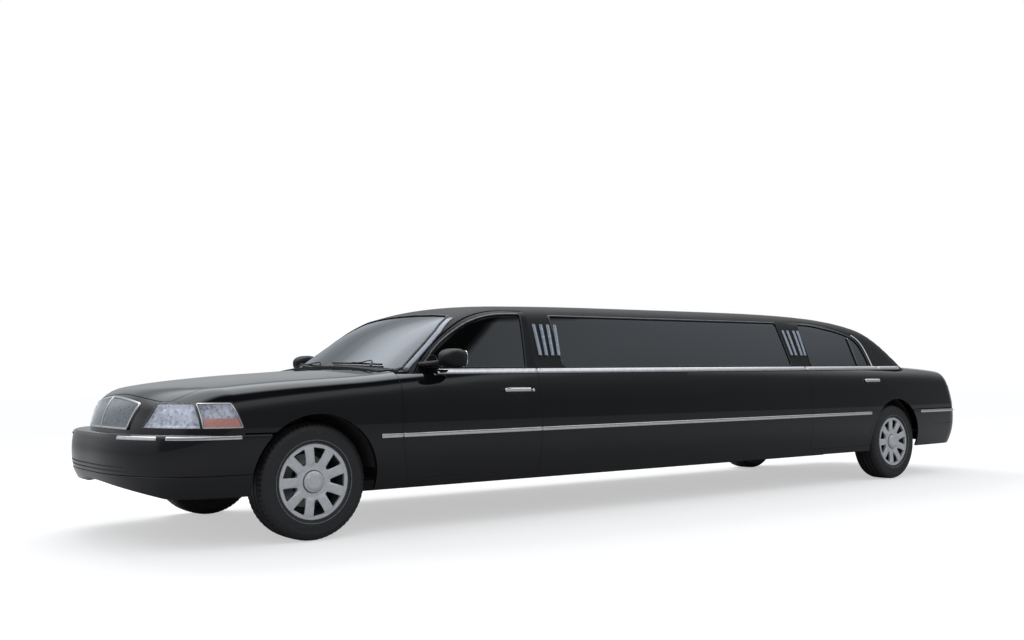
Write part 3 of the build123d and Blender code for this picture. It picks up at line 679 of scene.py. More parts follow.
def plain(name, dark, light, rough, metallic=0.0, scale=60.0, bumps=0.0, spread=0.06, coat=0.0, specular=0.5):
    """A finish that varies a little in colour and roughness, with an optional fine grain."""
    mat, tree, bsdf = material(name)
    tex = noise(tree, scale)
    drive(tree, tex, "Fac", bsdf, "Base Color", (0.3, dark), (0.7, light))
    drive(tree, tex, "Fac", bsdf, "Roughness", (0.25, max(rough - spread, 0.0)), (0.75, rough + spread))
    tune(bsdf, Metallic=metallic, Specular_IOR_Level=specular)
    if coat:
        tune(bsdf, Coat_Weight=coat, Coat_Roughness=0.02)
    if bumps:
        bump(tree, tex, "Fac", bsdf, bumps)
    return mat


def glass(name, tint, rough=0.02, ior=1.55):
    """Dark or clear glazing that stays cheap to trace: a tinted see-through sheet under a clear gloss."""
    mat, tree, bsdf = material(name)
    tree.nodes.remove(bsdf)
    through = node(tree, "BsdfTransparent", Color=(*tint, 1))
    gloss = node(tree, "BsdfGlossy", Roughness=rough, Color=(0.9, 0.94, 1.0, 1))
    bump(tree, noise(tree, 1.3, detail=1.0), "Fac", gloss, 0.04, 0.02)
    # only the outer face has the gloss, since seen from inside the glass it would mirror everything
    outside = calc(tree, "SUBTRACT", 1.0, (node(tree, "NewGeometry"), "Backfacing"))
    amount = calc(tree, "MULTIPLY", (node(tree, "Fresnel", IOR=ior), "Fac"), (outside, "Value"))
    mix = node(tree, "MixShader")
    link(tree, amount, "Value", mix, "Fac")
    link(tree, through, "BSDF", mix, 1)
    link(tree, gloss, "BSDF", mix, 2)
    link(tree, mix, "Shader", tree.nodes["Material Output"], "Surface")
    return mat


def black_paint():
    mat, tree, bsdf = material("black_paint")
    tex = noise(tree, 3.0, detail=3.0)
    drive(tree, tex, "Fac", bsdf, "Base Color", (0.3, (0.0035, 0.0036, 0.0042)), (0.7, (0.005, 0.0052, 0.006)))
    drive(tree, tex, "Fac", bsdf, "Roughness", (0.2, 0.10), (0.8, 0.16))
    tune(bsdf, Specular_IOR_Level=0.0, Coat_Weight=1.0, Coat_Roughness=0.03)
    bump(tree, noise(tree, 420.0, detail=2.0), "Fac", bsdf, 0.03, 0.0004)
    return mat


def vinyl():
    """Grained roof covering: small irregular cells over a soft black base."""
    mat, tree, bsdf = material("roof_vinyl")
    grain = cells(tree, 520.0)
    drive(tree, noise(tree, 14.0), "Fac", bsdf, "Base Color", (0.3, (0.006, 0.006, 0.007)),
          (0.7, (0.010, 0.010, 0.012)))
    drive(tree, grain, "Distance", bsdf, "Roughness", (0.0, 0.42), (0.6, 0.58))
    tune(bsdf, Specular_IOR_Level=0.22)
    bump(tree, grain, "Distance", bsdf, 0.18, 0.0006)
    return mat


def chrome(name="bright_chrome", rough=0.05, light=0.86, dark=0.72):
    mat, tree, bsdf = material(name)
    tex = noise(tree, 35.0)
    drive(tree, tex, "Fac", bsdf, "Base Color", (0.3, (dark, dark, dark * 1.02)), (0.7, (light, light, light * 1.01)))
    drive(tree, tex, "Fac", bsdf, "Roughness", (0.2, rough), (0.8, rough + 0.05))
    tune(bsdf, Metallic=1.0)
    return mat


def rubber_tyre():
    mat, tree, bsdf = material("tyre_rubber")
    tex = noise(tree, 90.0)
    drive(tree, tex, "Fac", bsdf, "Base Color", (0.3, (0.012, 0.012, 0.013)), (0.7, (0.022, 0.022, 0.023)))
    drive(tree, tex, "Fac", bsdf, "Roughness", (0.2, 0.42), (0.8, 0.58))
    bump(tree, noise(tree, 900.0, detail=2.0), "Fac", bsdf, 0.15, 0.0004)
    return mat


def leather(name, dark, light):
    mat, tree, bsdf = material(name)
    tex = noise(tree, 9.0)
    drive(tree, tex, "Fac", bsdf, "Base Color", (0.3, dark), (0.7, light))
    drive(tree, tex, "Fac", bsdf, "Roughness", (0.2, 0.38), (0.8, 0.52))
    bump(tree, cells(tree, 260.0), "Distance", bsdf, 0.25, 0.0008)
    return mat


def lamp_silver_painted_sparkle():
    """Faceted reflector: painted highlights, cells of uneven brightness in the colour that stand in for sparkle, over a
    bump of the same cells.
    """
    mat, tree, bsdf = material("lamp_reflector")
    facet_and_sparkle_cells = cells(tree, 62.0)
    # each cell's brightness is a painted highlight: sparkle painted into the base colour
    drive(tree, facet_and_sparkle_cells, "Color", bsdf, "Base Color", (0.15, (0.56, 0.54, 0.56)), (0.45, (0.88, 0.85, 0.88)),
          (0.8, (0.99, 0.97, 0.99)))
    tune(bsdf, Metallic=0.08, Roughness=0.22)
    bump(tree, facet_and_sparkle_cells, "Distance", bsdf, 0.5, 0.003)
    return mat


PAINT = black_paint()
VINYL = vinyl()
CHROME = chrome()
GRILLE_SILVER = plain("grille_silver", (0.34, 0.37, 0.40), (0.44, 0.47, 0.50), 0.30, 0.5, 45, coat=0.2)
RUBBER = plain("black_rubber", (0.008, 0.008, 0.008), (0.014, 0.014, 0.014), 0.55, bumps=0.1)
TYRE = rubber_tyre()
ALLOY = plain("wheel_alloy", (0.56, 0.58, 0.60), (0.66, 0.68, 0.70), 0.32, 0.35, 45, spread=0.05, coat=0.3)
# near-black: painted shade on the rim between the disc and the lip and on the ring round the cap; the dust shield's own
# dark colour
DARK_METAL_AND_SHADE = plain("wheel_inner", (0.045, 0.045, 0.047), (0.075, 0.075, 0.078), 0.45, 0.5, 45)
STEEL = plain("bare_steel", (0.25, 0.25, 0.25), (0.36, 0.35, 0.34), 0.42, 1.0, 30, bumps=0.1)
CAST = plain("cast_iron", (0.045, 0.044, 0.043), (0.085, 0.082, 0.08), 0.7, 0.5, 70, bumps=0.3)
CHASSIS = plain("chassis_black", (0.010, 0.010, 0.010), (0.022, 0.021, 0.020), 0.55, 0.0, 25, bumps=0.2)
SEALER = plain("underseal", (0.012, 0.012, 0.012), (0.026, 0.026, 0.027), 0.85, 0.0, 160, bumps=0.5)
PLASTIC = plain("trim_plastic", (0.010, 0.010, 0.011), (0.017, 0.017, 0.018), 0.5, 0.0, 300, bumps=0.12)
GLOSS_BLACK = plain("gloss_black", (0.004, 0.004, 0.0045), (0.007, 0.007, 0.008), 0.12, 0.0, 12, coat=0.6)
LEATHER = leather("seat_leather", (0.014, 0.014, 0.015), (0.024, 0.024, 0.026))
HEADLINE = plain("headlining", (0.10, 0.10, 0.105), (0.15, 0.15, 0.155), 0.9, 0.0, 400, bumps=0.3)
SIDE_GLASS = glass("side_glass", (0.055, 0.062, 0.075))
SCREEN_GLASS = glass("screen_glass", (0.10, 0.13, 0.135), 0.03, 1.75)
LENS = glass("lamp_lens", (0.92, 0.94, 0.97), 0.03)
AMBER = plain("amber_lens", (0.56, 0.24, 0.19), (0.68, 0.32, 0.26), 0.15, 0.0, 90, coat=0.6)
RED = plain("red_lens", (0.20, 0.002, 0.003), (0.30, 0.004, 0.005), 0.12, 0.0, 40, coat=0.8)
REFLECTOR = lamp_silver_painted_sparkle()
PLATE = plain("blank_plate", (0.62, 0.63, 0.64), (0.70, 0.70, 0.71), 0.35, 0.3, 60)
LENS_SOLID = plain("clear_lens", (0.55, 0.57, 0.60), (0.62, 0.64, 0.66), 0.10, 0.2, 60, coat=0.8)
SLAT = plain("pillar_slat", (0.26, 0.31, 0.37), (0.34, 0.39, 0.45), 0.25, 0.5, 40)
# grey for the wheels' lip line, and for painted highlights along the glass edges
LIP_GREY_AND_EDGE_HIGHLIGHT = plain("lip_grey_and_glass_highlight", (0.16, 0.17, 0.18), (0.22, 0.23, 0.24), 0.3, 0.4, 60)
# blue-grey for a strip on each A-pillar: painted reflection of a bright sky on the black pillar
PILLAR_REFLECTION_GREY = plain("pillar_sky_reflection", (0.10, 0.11, 0.135), (0.15, 0.16, 0.19), 0.25, 0.5, 30, coat=0.4)
FRAME_BLACK = plain("door_frame", (0.003, 0.003, 0.0035), (0.006, 0.006, 0.0065), 0.30, scale=90, specular=0.14)
MIRROR_BLACK = plain("mirror_shell", (0.010, 0.010, 0.011), (0.012, 0.012, 0.013), 0.50, 0.0, 200, specular=0.2)
SILVERED = chrome("mirror_glass", 0.01, 0.9, 0.88)


# ------------------------------------------------------------------ cut lines
HALF_GAP = 0.0026
SILL_Z, DOOR_FOOT = 0.280, 0.335
FRONT_CUT, B_CUT, C_CUT, D_CUT = 2.6350, 1.517, -1.520, -2.629
LAMP_TOP, LAMP_FOOT = 0.830, 0.682
BUMPER_EDGE = 0.652
HOOD_TIP_Y = 0.585
FLANK = Along(lower, 0.50, 0.64)
UPPER = Along(house, 0.30, 1.00, scale=0.60)


def spline_points(points, n=60):
    """A smooth open line through points."""
    pts = np.asarray(points, float)
    t = np.concatenate([[0], np.cumsum(np.linalg.norm(np.diff(pts, axis=0), axis=1))])
    s = np.linspace(0, t[-1], n)
    return np.stack([natural_spline(t, pts[:, k])(s) for k in range(pts.shape[1])], 1)


def on_side(points, f=lower, step=0.02):
    """Points on a surface from an open line in side view; the next three do so for other views."""
    return shoot(f, dense(points, step, closed=False), "side")


def on_top(points):
    return shoot(lower, dense(points, 0.02, closed=False), "top")


def on_front(points, f=lower):
    return shoot(f, dense(points, 0.02, closed=False), "front")


def on_rear(points, f=lower):
    return shoot(f, dense(points, 0.02, closed=False), "rear")


def belt(x_from, x_to, drop=0.003, f=lower):
    """The belt line between two stations."""
    xs = np.linspace(x_from, x_to, max(3, int(abs(x_to - x_from) / 0.04)))
    return shoot(f, np.stack([xs, belt_z(xs) - drop], 1), "side")


def chain(*runs):
    """One closed outline from runs of points that follow each other."""
    out = [runs[0][0]]
    for run in runs:
        for p in run:
            if np.linalg.norm(p - out[-1]) > 0.002:
                out.append(p)
    if np.linalg.norm(out[0] - out[-1]) < 0.002:
        out.pop()
    return np.array(out)


def arch(centre_x, radius, z_from, z_to):
    """Points on a wheel arch from its front side at z_from, over the top, to its rear side at z_to."""
    a0 = math.asin((z_from - ARCH_Z) / radius)
    a1 = math.pi - math.asin((z_to - ARCH_Z) / radius)
    return on_side([(centre_x + radius * math.cos(a), ARCH_Z + radius * math.sin(a)) for a in np.linspace(a0, a1, 60)],
                   step=0.012)


def whole(left):
    """A closed outline from its left half, which starts and ends on the middle line."""
    return chain(left, flip_y(left)[::-1])


def flip_y(p):
    """Points on the car's other side."""
    return np.asarray(p) * (1, -1, 1)


def cowl_bow(y):
    """How far the line between hood and cowl falls back from its middle."""
    return 0.037 * (y / 0.784) ** 2


def hood_front_z(y):
    """Height of the hood's front edge."""
    return 0.877 - 0.042 * (np.abs(y) / HOOD_TIP_Y) ** 1.7


HOOD_TIP = shoot(lower, [(HOOD_TIP_Y, float(hood_front_z(HOOD_TIP_Y)))], "front")[0]
HOOD_SIDE = spline_points([(2.705, 0.786), (3.00, 0.788), (3.30, 0.784), (3.60, 0.768), (3.80, 0.741), (3.91, 0.703),
                           (3.975, 0.650), (HOOD_TIP[0], HOOD_TIP[1])])


def lamp_upper(z, inner_y, rear_x):
    """A line at one height from the inner end of the lamp round to the flank."""
    front = on_front([(inner_y, z), (0.86, z)])
    return np.concatenate([front, on_side([(front[-1][0] - 0.015, z), (rear_x, z)])])


def fender():
    hood_line = shoot(lower, HOOD_SIDE + np.array([0.0, HALF_GAP]), "top")
    outline = chain(
        on_side([(FRONT_CUT - 0.050, SILL_Z), (FRONT_CUT - 0.043, DOOR_FOOT), (FRONT_CUT + HALF_GAP, 0.603),
                 (FRONT_CUT + HALF_GAP, 0.93)]),
        on_top([(FRONT_CUT + HALF_GAP, 0.90), (FRONT_CUT + HALF_GAP, 0.80), (2.70, 0.79)]),
        hood_line,
        lamp_upper(LAMP_TOP + 0.003, HOOD_TIP_Y, 3.724),
        on_side([(3.722, LAMP_TOP), (3.690, 0.76), (3.657, LAMP_FOOT), (3.655, BUMPER_EDGE + 0.004),
                 (3.50, BUMPER_EDGE + 0.004)]),
        arch(FRONT_X, ARCH_R, BUMPER_EDGE + 0.004, SILL_Z))
    panel("fender", PAINT, BOTH, FLANK, outline, grid=0.020, thick=0.020,
          replaces=("front_fenders", "front_fenders"))


def front_door():
    outline = chain(
        on_side([(FRONT_CUT - 0.044 - HALF_GAP, DOOR_FOOT), (FRONT_CUT - HALF_GAP, 0.603),
                 (FRONT_CUT - HALF_GAP, 0.985)]),
        belt(FRONT_CUT - HALF_GAP, B_CUT + HALF_GAP),
        on_side([(B_CUT + HALF_GAP, 0.99), (B_CUT + HALF_GAP, DOOR_FOOT)]),
        on_side([(B_CUT + HALF_GAP, DOOR_FOOT), (FRONT_CUT - 0.045, DOOR_FOOT)]))
    panel("front_door", PAINT, FRONT_DOORS, FLANK, outline, thick=0.070,
          replaces=("front_door_left", "front_door_right"))


DOOR_ARCH = ARCH_R + 0.028


def rear_door_edge(grow):
    """The rear edge of the rear door from the belt down round the arch to its foot."""
    radius = DOOR_ARCH + grow
    a0 = math.asin((0.745 - ARCH_Z) / radius)
    a1 = math.asin((DOOR_FOOT - ARCH_Z) / radius)
    ring = [(REAR_X + radius * math.cos(a), ARCH_Z + radius * math.sin(a)) for a in np.linspace(a0, a1, 24)]
    upper = spline_points([(D_CUT - grow, 0.99), (D_CUT - 0.002 - grow, 0.90), (-2.640 - grow, 0.82), ring[0]], 14)
    return [tuple(p) for p in upper[:-1]] + ring


def rear_door():
    edge = rear_door_edge(HALF_GAP)
    edge = [(x + 2 * HALF_GAP, z) for x, z in edge]
    outline = chain(
        on_side([(C_CUT - HALF_GAP, DOOR_FOOT), (C_CUT - HALF_GAP, 0.99)]),
        belt(C_CUT - HALF_GAP, D_CUT + HALF_GAP),
        on_side(edge),
        on_side([(edge[-1][0], DOOR_FOOT), (C_CUT - HALF_GAP, DOOR_FOOT)]))
    panel("rear_door", PAINT, REAR_DOORS, FLANK, outline, thick=0.070,
          replaces=("rear_door_left", "rear_door_right"))


def body_centre():
    """The fixed flank between the doors, with the sill under all three."""
    foot = DOOR_FOOT - 2 * HALF_GAP
    front, rear = FRONT_CUT - 0.052, REAR_X + ARCH_R
    outline = chain(
        on_side([(front, SILL_Z), (front + 0.004, foot), (B_CUT - HALF_GAP, foot), (B_CUT - HALF_GAP, 0.99)]),
        belt(B_CUT - HALF_GAP, C_CUT + HALF_GAP),
        on_side([(C_CUT + HALF_GAP, 0.99), (C_CUT + HALF_GAP, foot), (rear, foot), (rear - 0.008, SILL_Z)]),
        on_side([(rear - 0.008, SILL_Z), (front, SILL_Z)]))
    panel("body_centre", PAINT, BOTH, FLANK, outline, thick=0.045,
          replaces=("body_sides", "body_sides"))


LID_SIDE = [(-3.440, 0.745), (-3.80, 0.732), (-3.99, 0.708)]
LAMP_IN, LAMP_OUT, TAIL_FOOT, TAIL_TOP = 0.570, 0.905, 0.688, 0.890


def quarter():
    edge = rear_door_edge(HALF_GAP)[::-1]
    outline = chain(
        on_side(edge),
        belt(D_CUT - HALF_GAP, -3.15),
        on_top([(-3.15, 0.90), (-3.15, 0.748 + HALF_GAP), (-3.440, 0.745 + HALF_GAP)] + [
            (x, y + HALF_GAP) for x, y in LID_SIDE[1:]]),
        on_rear([(0.702, 0.920), (0.702, TAIL_TOP + 0.012), (LAMP_OUT, TAIL_TOP)]),
        on_rear([(LAMP_OUT + 0.002, TAIL_TOP), (LAMP_OUT + 0.002, TAIL_FOOT)]),
        on_side([(-3.95, BUMPER_EDGE + 0.004), (-3.14, BUMPER_EDGE + 0.004)]),
        on_side([(REAR_X + ARCH_R * math.cos(a), ARCH_Z + ARCH_R * math.sin(a)) for a in np.linspace(
            math.pi - math.asin((BUMPER_EDGE - ARCH_Z) / ARCH_R), math.asin((DOOR_FOOT - ARCH_Z) / ARCH_R), 60)],
            step=0.012))
    panel("quarter", PAINT, BOTH, FLANK, outline, grid=0.020, thick=0.020)


def hood():
    side = shoot(lower, HOOD_SIDE - np.array([0.0, HALF_GAP]), "top")
    ys = np.linspace(HOOD_TIP_Y - HALF_GAP, -(HOOD_TIP_Y - HALF_GAP), 50)
    front = shoot(lower, np.stack([ys, hood_front_z(ys)], 1), "front")
    back = shoot(lower, [(2.742 - cowl_bow(y), y) for y in np.linspace(-0.784, 0.784, 40)], "top")
    outline = chain(side, front, flip_y(side)[::-1], back)
    panel("hood", PAINT, "hood", Fan(lower, 3.3, 0.60), outline, thick=0.022, replaces="hood")


def trunk_lid():
    side = on_top([(x, y - HALF_GAP) for x, y in LID_SIDE])
    back = on_rear([(0.697, 0.920), (0.697, TAIL_TOP + 0.014), (LAMP_IN - 0.004, TAIL_TOP + 0.017),
                    (LAMP_IN - 0.004, 0.664), (0, 0.664)])
    left = np.concatenate([side, back])
    front = on_top([(-3.440, -0.745), (-3.440, 0.742)])
    outline = chain(left, flip_y(left)[::-1], front)
    panel("trunk_lid", PAINT, "trunk_lid", Fan(lower, -3.5, 0.70, away=-1), outline, thick=0.022, replaces="trunk_lid")


def deck_strip():
    """The body panel under the foot of the rear window."""
    outline = chain(on_top([(-3.10, -0.75), (-3.436, -0.745), (-3.436, 0.745), (-3.10, 0.75)]),
                    on_top([(-3.10, 0.75), (-3.10, -0.75)]))
    panel("rear_deck", PAINT, "body", Fan(lower, -3.5, 0.70, away=-1), outline)


# ------------------------------------------------------------------ nose
GRILLE_FOOT = 0.664
GRILLE_BARS = 36
GRILLE_REACH = 0.42  # half width at its top
GRILLE_PROW = 0.026  # how far its middle stands forward


def grille_half(z):
    """Half width of the grille opening at one height."""
    return 0.362 + 0.058 * (z - GRILLE_FOOT) / 0.18


def grille_top(y):
    """Height of the grille's crowned top."""
    return 0.850 - 0.022 * (np.abs(y) / GRILLE_REACH) ** 2.4


def grille_outline(shrink=0.0):
    """The grille in front view, made smaller by shrink on every side."""
    foot, side_z = GRILLE_FOOT + shrink, 0.824 - shrink
    left = [(grille_half(z) - shrink, z) for z in np.linspace(foot, side_z, 16)]
    half = left[-1][0]
    crown = [(y, grille_top(y * GRILLE_REACH / half) - shrink) for y in np.linspace(half - 0.012, -half + 0.012, 32)]
    return left + crown + [(-y, z) for y, z in left[::-1]]


NOSE = Round(lower, 3.5, 0.0, scale=0.6)


def nose_panel():
    """The body-coloured panel that carries the grille, between the lamps."""
    ys = np.linspace(-(HOOD_TIP_Y - 0.004), HOOD_TIP_Y - 0.004, 50)
    top = shoot(lower, np.stack([ys, hood_front_z(ys) - 2 * HALF_GAP], 1), "front")
    side = on_front([(0.556, LAMP_TOP + 0.002), (0.546, LAMP_TOP - 0.004), (0.497, LAMP_FOOT), (0.497, 0.646)])
    foot = on_front([(0.497, 0.646), (-0.497, 0.646)])
    outline = chain(top, side, foot, flip_y(side)[::-1])
    hole = shoot(lower, dense(grille_outline(0.004), 0.02), "front")
    panel("nose_panel", PAINT, "body", NOSE, outline, [hole])


def prow(p, n):
    """The grille's shallow V in plan: points pushed forwards towards the middle."""
    return p + n * (GRILLE_PROW * np.clip(1 - np.abs(p[:, 1]) / GRILLE_REACH, 0, 1))[:, None]


def grille():
    p = shoot(lower, dense(grille_outline(0.010), 0.02), "front")
    n = gradient(lower, p)
    pieces("grille_surround", CHROME, "body",
           sweep(prow(p, n), n, half_round(0.014, 0.009, 0.050), closed=True), replaces="grille")

    def upright(t, foot, top, profile, sink=0.0):
        """A bar up the grille, at a share t of its half width."""
        zs = np.linspace(GRILLE_FOOT + foot, float(grille_top(t * 0.39)) - top, 14)
        p = shoot(lower, np.stack([t * (grille_half(zs) - 0.014), zs], 1), "front")
        n = gradient(lower, p)
        return sweep(prow(p, n) - n * sink, n, profile)

    bars = Shape()
    for t in (np.arange(GRILLE_BARS) + 0.5) / GRILLE_BARS * 2 - 1:
        bars.add(*upright(t, 0.012, 0.016, [(-0.0066, -0.022), (0.0066, -0.022), (0.0058, 0.006), (0.0, 0.012),
                                            (-0.0058, 0.006)], 0.008))
    bars.make("grille_bars", GRILLE_SILVER, "body", "bright_chrome", sharp=30)
    pieces("grille_spine", CHROME, "body", upright(0.0, 0.008, 0.012, half_round(0.012, 0.010, 0.030)))
    pts = shoot(lower, dense(grille_outline(0.02), 0.02), "front")
    panel("grille_back", PLASTIC, "body", NOSE, pts, slot="frame_black", grid=0.03, thick=0.008, lift=-0.020)


LAMP = Round(lower, 3.5, 0.30, scale=0.6)
LAMP_DIVIDER = 3.890


def lamp_outline(shrink=0.0):
    """The headlamp's outline on the body, made smaller by shrink."""
    top = lamp_upper(LAMP_TOP - shrink, 0.548 + shrink, 3.724 + shrink)
    foot = lamp_upper(LAMP_FOOT + shrink, 0.500 + shrink, 3.659 + shrink)
    rear = on_side([(3.722 + shrink, LAMP_TOP - shrink), (3.690 + shrink, 0.76), (3.659 + shrink, LAMP_FOOT + shrink)])
    inner = on_front([(0.500 + shrink, LAMP_FOOT + shrink), (0.548 + shrink, LAMP_TOP - shrink)])
    return chain(top, rear, foot[::-1], inner)


def lamp_grid(outline, depth):
    """A bowl behind an outline: a net in panel coordinates whose depth follows depth(s, t)."""
    columns, rows = 64, 26
    uv = LAMP.to_2d(outline)
    u0, u1 = uv[:, 0].min(), uv[:, 0].max()
    flat, shares = [], []
    for i in range(columns + 1):
        u = min(max(u0 + (u1 - u0) * i / columns, u0 + 1e-4), u1 - 1e-4)
        cross = [ay + (by - ay) * (u - ax) / (bx - ax) for (ax, ay), (bx, by) in zip(uv, np.roll(uv, -1, axis=0))
                 if (ax - u) * (bx - u) <= 0 and ax != bx]
        low, high = min(cross), max(cross)
        flat += [(u, low + (high - low) * j / rows) for j in range(rows + 1)]
        shares += [(i / columns, j / rows) for j in range(rows + 1)]
    p = LAMP.to_3d(np.array(flat))
    out = p - gradient(lower, p) * np.array([[depth(s, t)] for s, t in shares])
    corners = [i * (rows + 1) + j for i in range(columns) for j in range(rows)]
    return out, [(a, a + 1, a + rows + 2, a + rows + 1) for a in corners]


def lamp_depth(s, t):
    """Depth of the reflector: a flat bowl with upright flutes and a round beam bowl."""
    edge = min(1.0, 14 * min(s, 1 - s)) * min(1.0, 7 * min(t, 1 - t))
    flute = 0.004 * abs(math.sin(s * 34))
    bowl = max(0.0, 1 - ((s - 0.70) / 0.16) ** 2 - ((t - 0.5) / 0.52) ** 2)
    return 0.006 + edge * (0.018 + flute + 0.022 * math.sqrt(bowl))


def headlamp():
    made = pieces("lamp_reflector", REFLECTOR, BOTH, lamp_grid(lamp_outline(), lamp_depth),
                  replaces=("headlamps", "headlamps"))
    for obj in made:
        obj.data.set_sharp_from_angle(angle=math.radians(35))
    panel("lamp_lens", LENS, BOTH, LAMP, lamp_outline(0.0015), slot="lamp_clear", grid=0.015, thick=0.004)
    panel("lamp_rim", GLOSS_BLACK, BOTH, LAMP, lamp_outline(0.0005), [lamp_outline(0.0035)], slot="frame_black",
          grid=0.02, thick=0.022, lift=0.001)
    strip = chain(lamp_upper(LAMP_FOOT - 0.003, 0.500, 3.657), on_side([(3.657, LAMP_FOOT - 0.003), (3.657, 0.646)]),
                  lamp_upper(0.646, 0.500, 3.657)[::-1])
    panel("lamp_sill", PAINT, BOTH, LAMP, strip, grid=0.02)
    zs = np.linspace(LAMP_FOOT + 0.004, LAMP_TOP - 0.004, 12)
    p, n = surface_path(lower, [(LAMP_DIVIDER + (z - 0.76) * 0.10, z) for z in zs], "side", 0.02)
    pieces("lamp_divider", GLOSS_BLACK, BOTH, sweep(p, n, bar(0.008, 0.008, -0.024, 0.0012)),
           smooth=False)
    low, high = LAMP_FOOT + 0.010, 0.740
    amber = chain(on_side([(3.870, low), (3.870, high)]), on_side([(3.870, high), (3.695, high)]),
                  on_side([(3.695, high), (3.676, low)]), on_side([(3.676, low), (3.870, low)]))
    panel("lamp_marker", AMBER, BOTH, LAMP, amber, slot="lamp_clear", grid=0.015, thick=0.006, lift=-0.003)
    bezel = rounded([(3.876, LAMP_FOOT + 0.006), (3.888, LAMP_TOP - 0.006), (3.732, LAMP_TOP - 0.006), (3.698, 0.76),
                     (3.668, LAMP_FOOT + 0.006)], 0.006)
    ring_strip("lamp_bezel", bezel, "side", BOTH, CHROME, 0.006, 0.003, f=lower)


# ------------------------------------------------------------------ bumpers
FACE = Round(bumper, 3.3, 0.0, scale=0.9)
TAIL_FACE = Round(bumper, -3.3, 0.0, scale=0.9, away=-1)
STRIP_Z = 0.632
LIP_TOP = 0.418
LIP_RISE = 0.080


def bumper_outline(face, centre_x, foot, sign):
    """From the wheel arch on one side round the end to the arch on the other side."""
    zs = np.linspace(foot, STRIP_Z, 14)
    xs = centre_x + sign * np.sqrt(ARCH_R**2 - (zs - ARCH_Z) ** 2)
    left = face.to_2d(shoot(bumper, np.stack([xs, zs], 1), "side"))
    right = left * (-1, 1)
    return face.to_3d(dense(np.concatenate([left, right[::-1]]), 0.02))


def bumper_shelf(face, centre_x, sign, name):
    """The bumper above its bright strip: over a round edge and in to the body."""
    reach = face.to_2d(bumper_outline(face, centre_x, 0.34, sign))[:, 0].max() - 0.002
    us = np.linspace(-reach, reach, 150)
    inward = -face.outwards(us / face.k)
    rows = [face.level(us, z) + inward * back
            for z, back in ((0.626, 0.004), (0.6262, 0.0), (0.636, 0.0), (0.643, 0.0))]
    base = face.level(us, 0.636)
    for z, back in ((0.6485, 0.006), (0.6520, 0.016), (0.6525, 0.05), (0.6525, 0.10), (0.6525, 0.16), (0.630, 0.16)):
        rows.append(base + inward * back)
        rows[-1][:, 2] = z
    verts, faces = tube(rows)
    faces = faces if sign < 0 else [t[::-1] for t in faces]
    Shape().add(verts, faces).make(name, PAINT, "body", "body_black", sharp=50)


def bright_strip(name, face, us, z, width, height, body="body", lift=0.001):
    p = face.level(us, z)
    n = gradient(face.f, p)
    pieces(name, CHROME, body, sweep(p + n * lift, n, half_round(width, height)))


def lip_outline(face, centre_x, foot, top, sign):
    """A band of the bumper between two heights, from one wheel arch round to the other."""
    rows = []
    for z, rise in ((foot, LIP_RISE), (top, 0.0)):
        x = centre_x + sign * math.sqrt(ARCH_R**2 - (z - ARCH_Z) ** 2)
        end = face.to_2d(shoot(bumper, [(x, z)], "side"))[0][0]
        rows.append([(u, z + rise * max(0.0, 1 - (u / 0.71) ** 2)) for u in np.linspace(-end, end, 120)])
    return face.to_3d(np.array(rows[0] + rows[1][::-1]))


def front_bumper():
    outline = bumper_outline(FACE, FRONT_X, LIP_TOP + 0.003, 1)
    panel("front_bumper_face", PAINT, "body", FACE, outline, thick=0.016, replaces="front_bumper")
    lip = lip_outline(FACE, FRONT_X, 0.296, LIP_TOP - 0.002, 1)
    panel("front_bumper_lip", PAINT, "body", FACE, lip, thick=0.022, lift=0.006)
    bumper_shelf(FACE, FRONT_X, 1, "front_bumper_top")
    grooves = Shape()
    for z, half in ((0.466, 0.46), (0.442, 0.50)):
        p = FACE.level(np.linspace(-half, half, 60), z)
        grooves.add(*sweep(p, gradient(bumper, p), bar(0.006, 0.005, -0.003, 0.0008)))
    grooves.make("front_bumper_grooves", RUBBER, "body", "frame_black", sharp=30)
    for name, a, b in (("inner", 0.411, 0.680), ("outer", 0.729, 1.073)):
        for side, k in (("left", 1), ("right", -1)):
            us = k * np.linspace(a, b, 60)[::k]
            bright_strip("front_strip_%s_%s" % (name, side), FACE, us, STRIP_Z, 0.022, 0.006)


def turned(profile, segments, centre, direction):
    """A lathed shape set on a centre, with its axis along a direction."""
    v, f = lathe(profile, segments)
    d = Vector(direction).normalized()
    rot = Vector((0, 1, 0)).rotation_difference(d).to_matrix()
    return np.array([rot @ Vector(p) for p in v]) + np.asarray(centre), f


def rear_bumper():
    outline = bumper_outline(TAIL_FACE, REAR_X, 0.296, -1)
    panel("rear_bumper_face", PAINT, "body", TAIL_FACE, outline, thick=0.016, replaces="rear_bumper")
    bumper_shelf(TAIL_FACE, REAR_X, -1, "rear_bumper_top")
    bright_strip("rear_bumper_strip", TAIL_FACE, np.linspace(-1.455, 1.455, 180), STRIP_Z - 0.004, 0.024, 0.006)
    p = TAIL_FACE.level(np.linspace(-1.2, 1.2, 140), 0.50)
    n = gradient(bumper, p)
    groove = sweep(p + n * 0.0004, n, bar(0.003, 0.0025, -0.002, 0.0004))
    pieces("rear_bumper_groove", RUBBER, "body", groove)


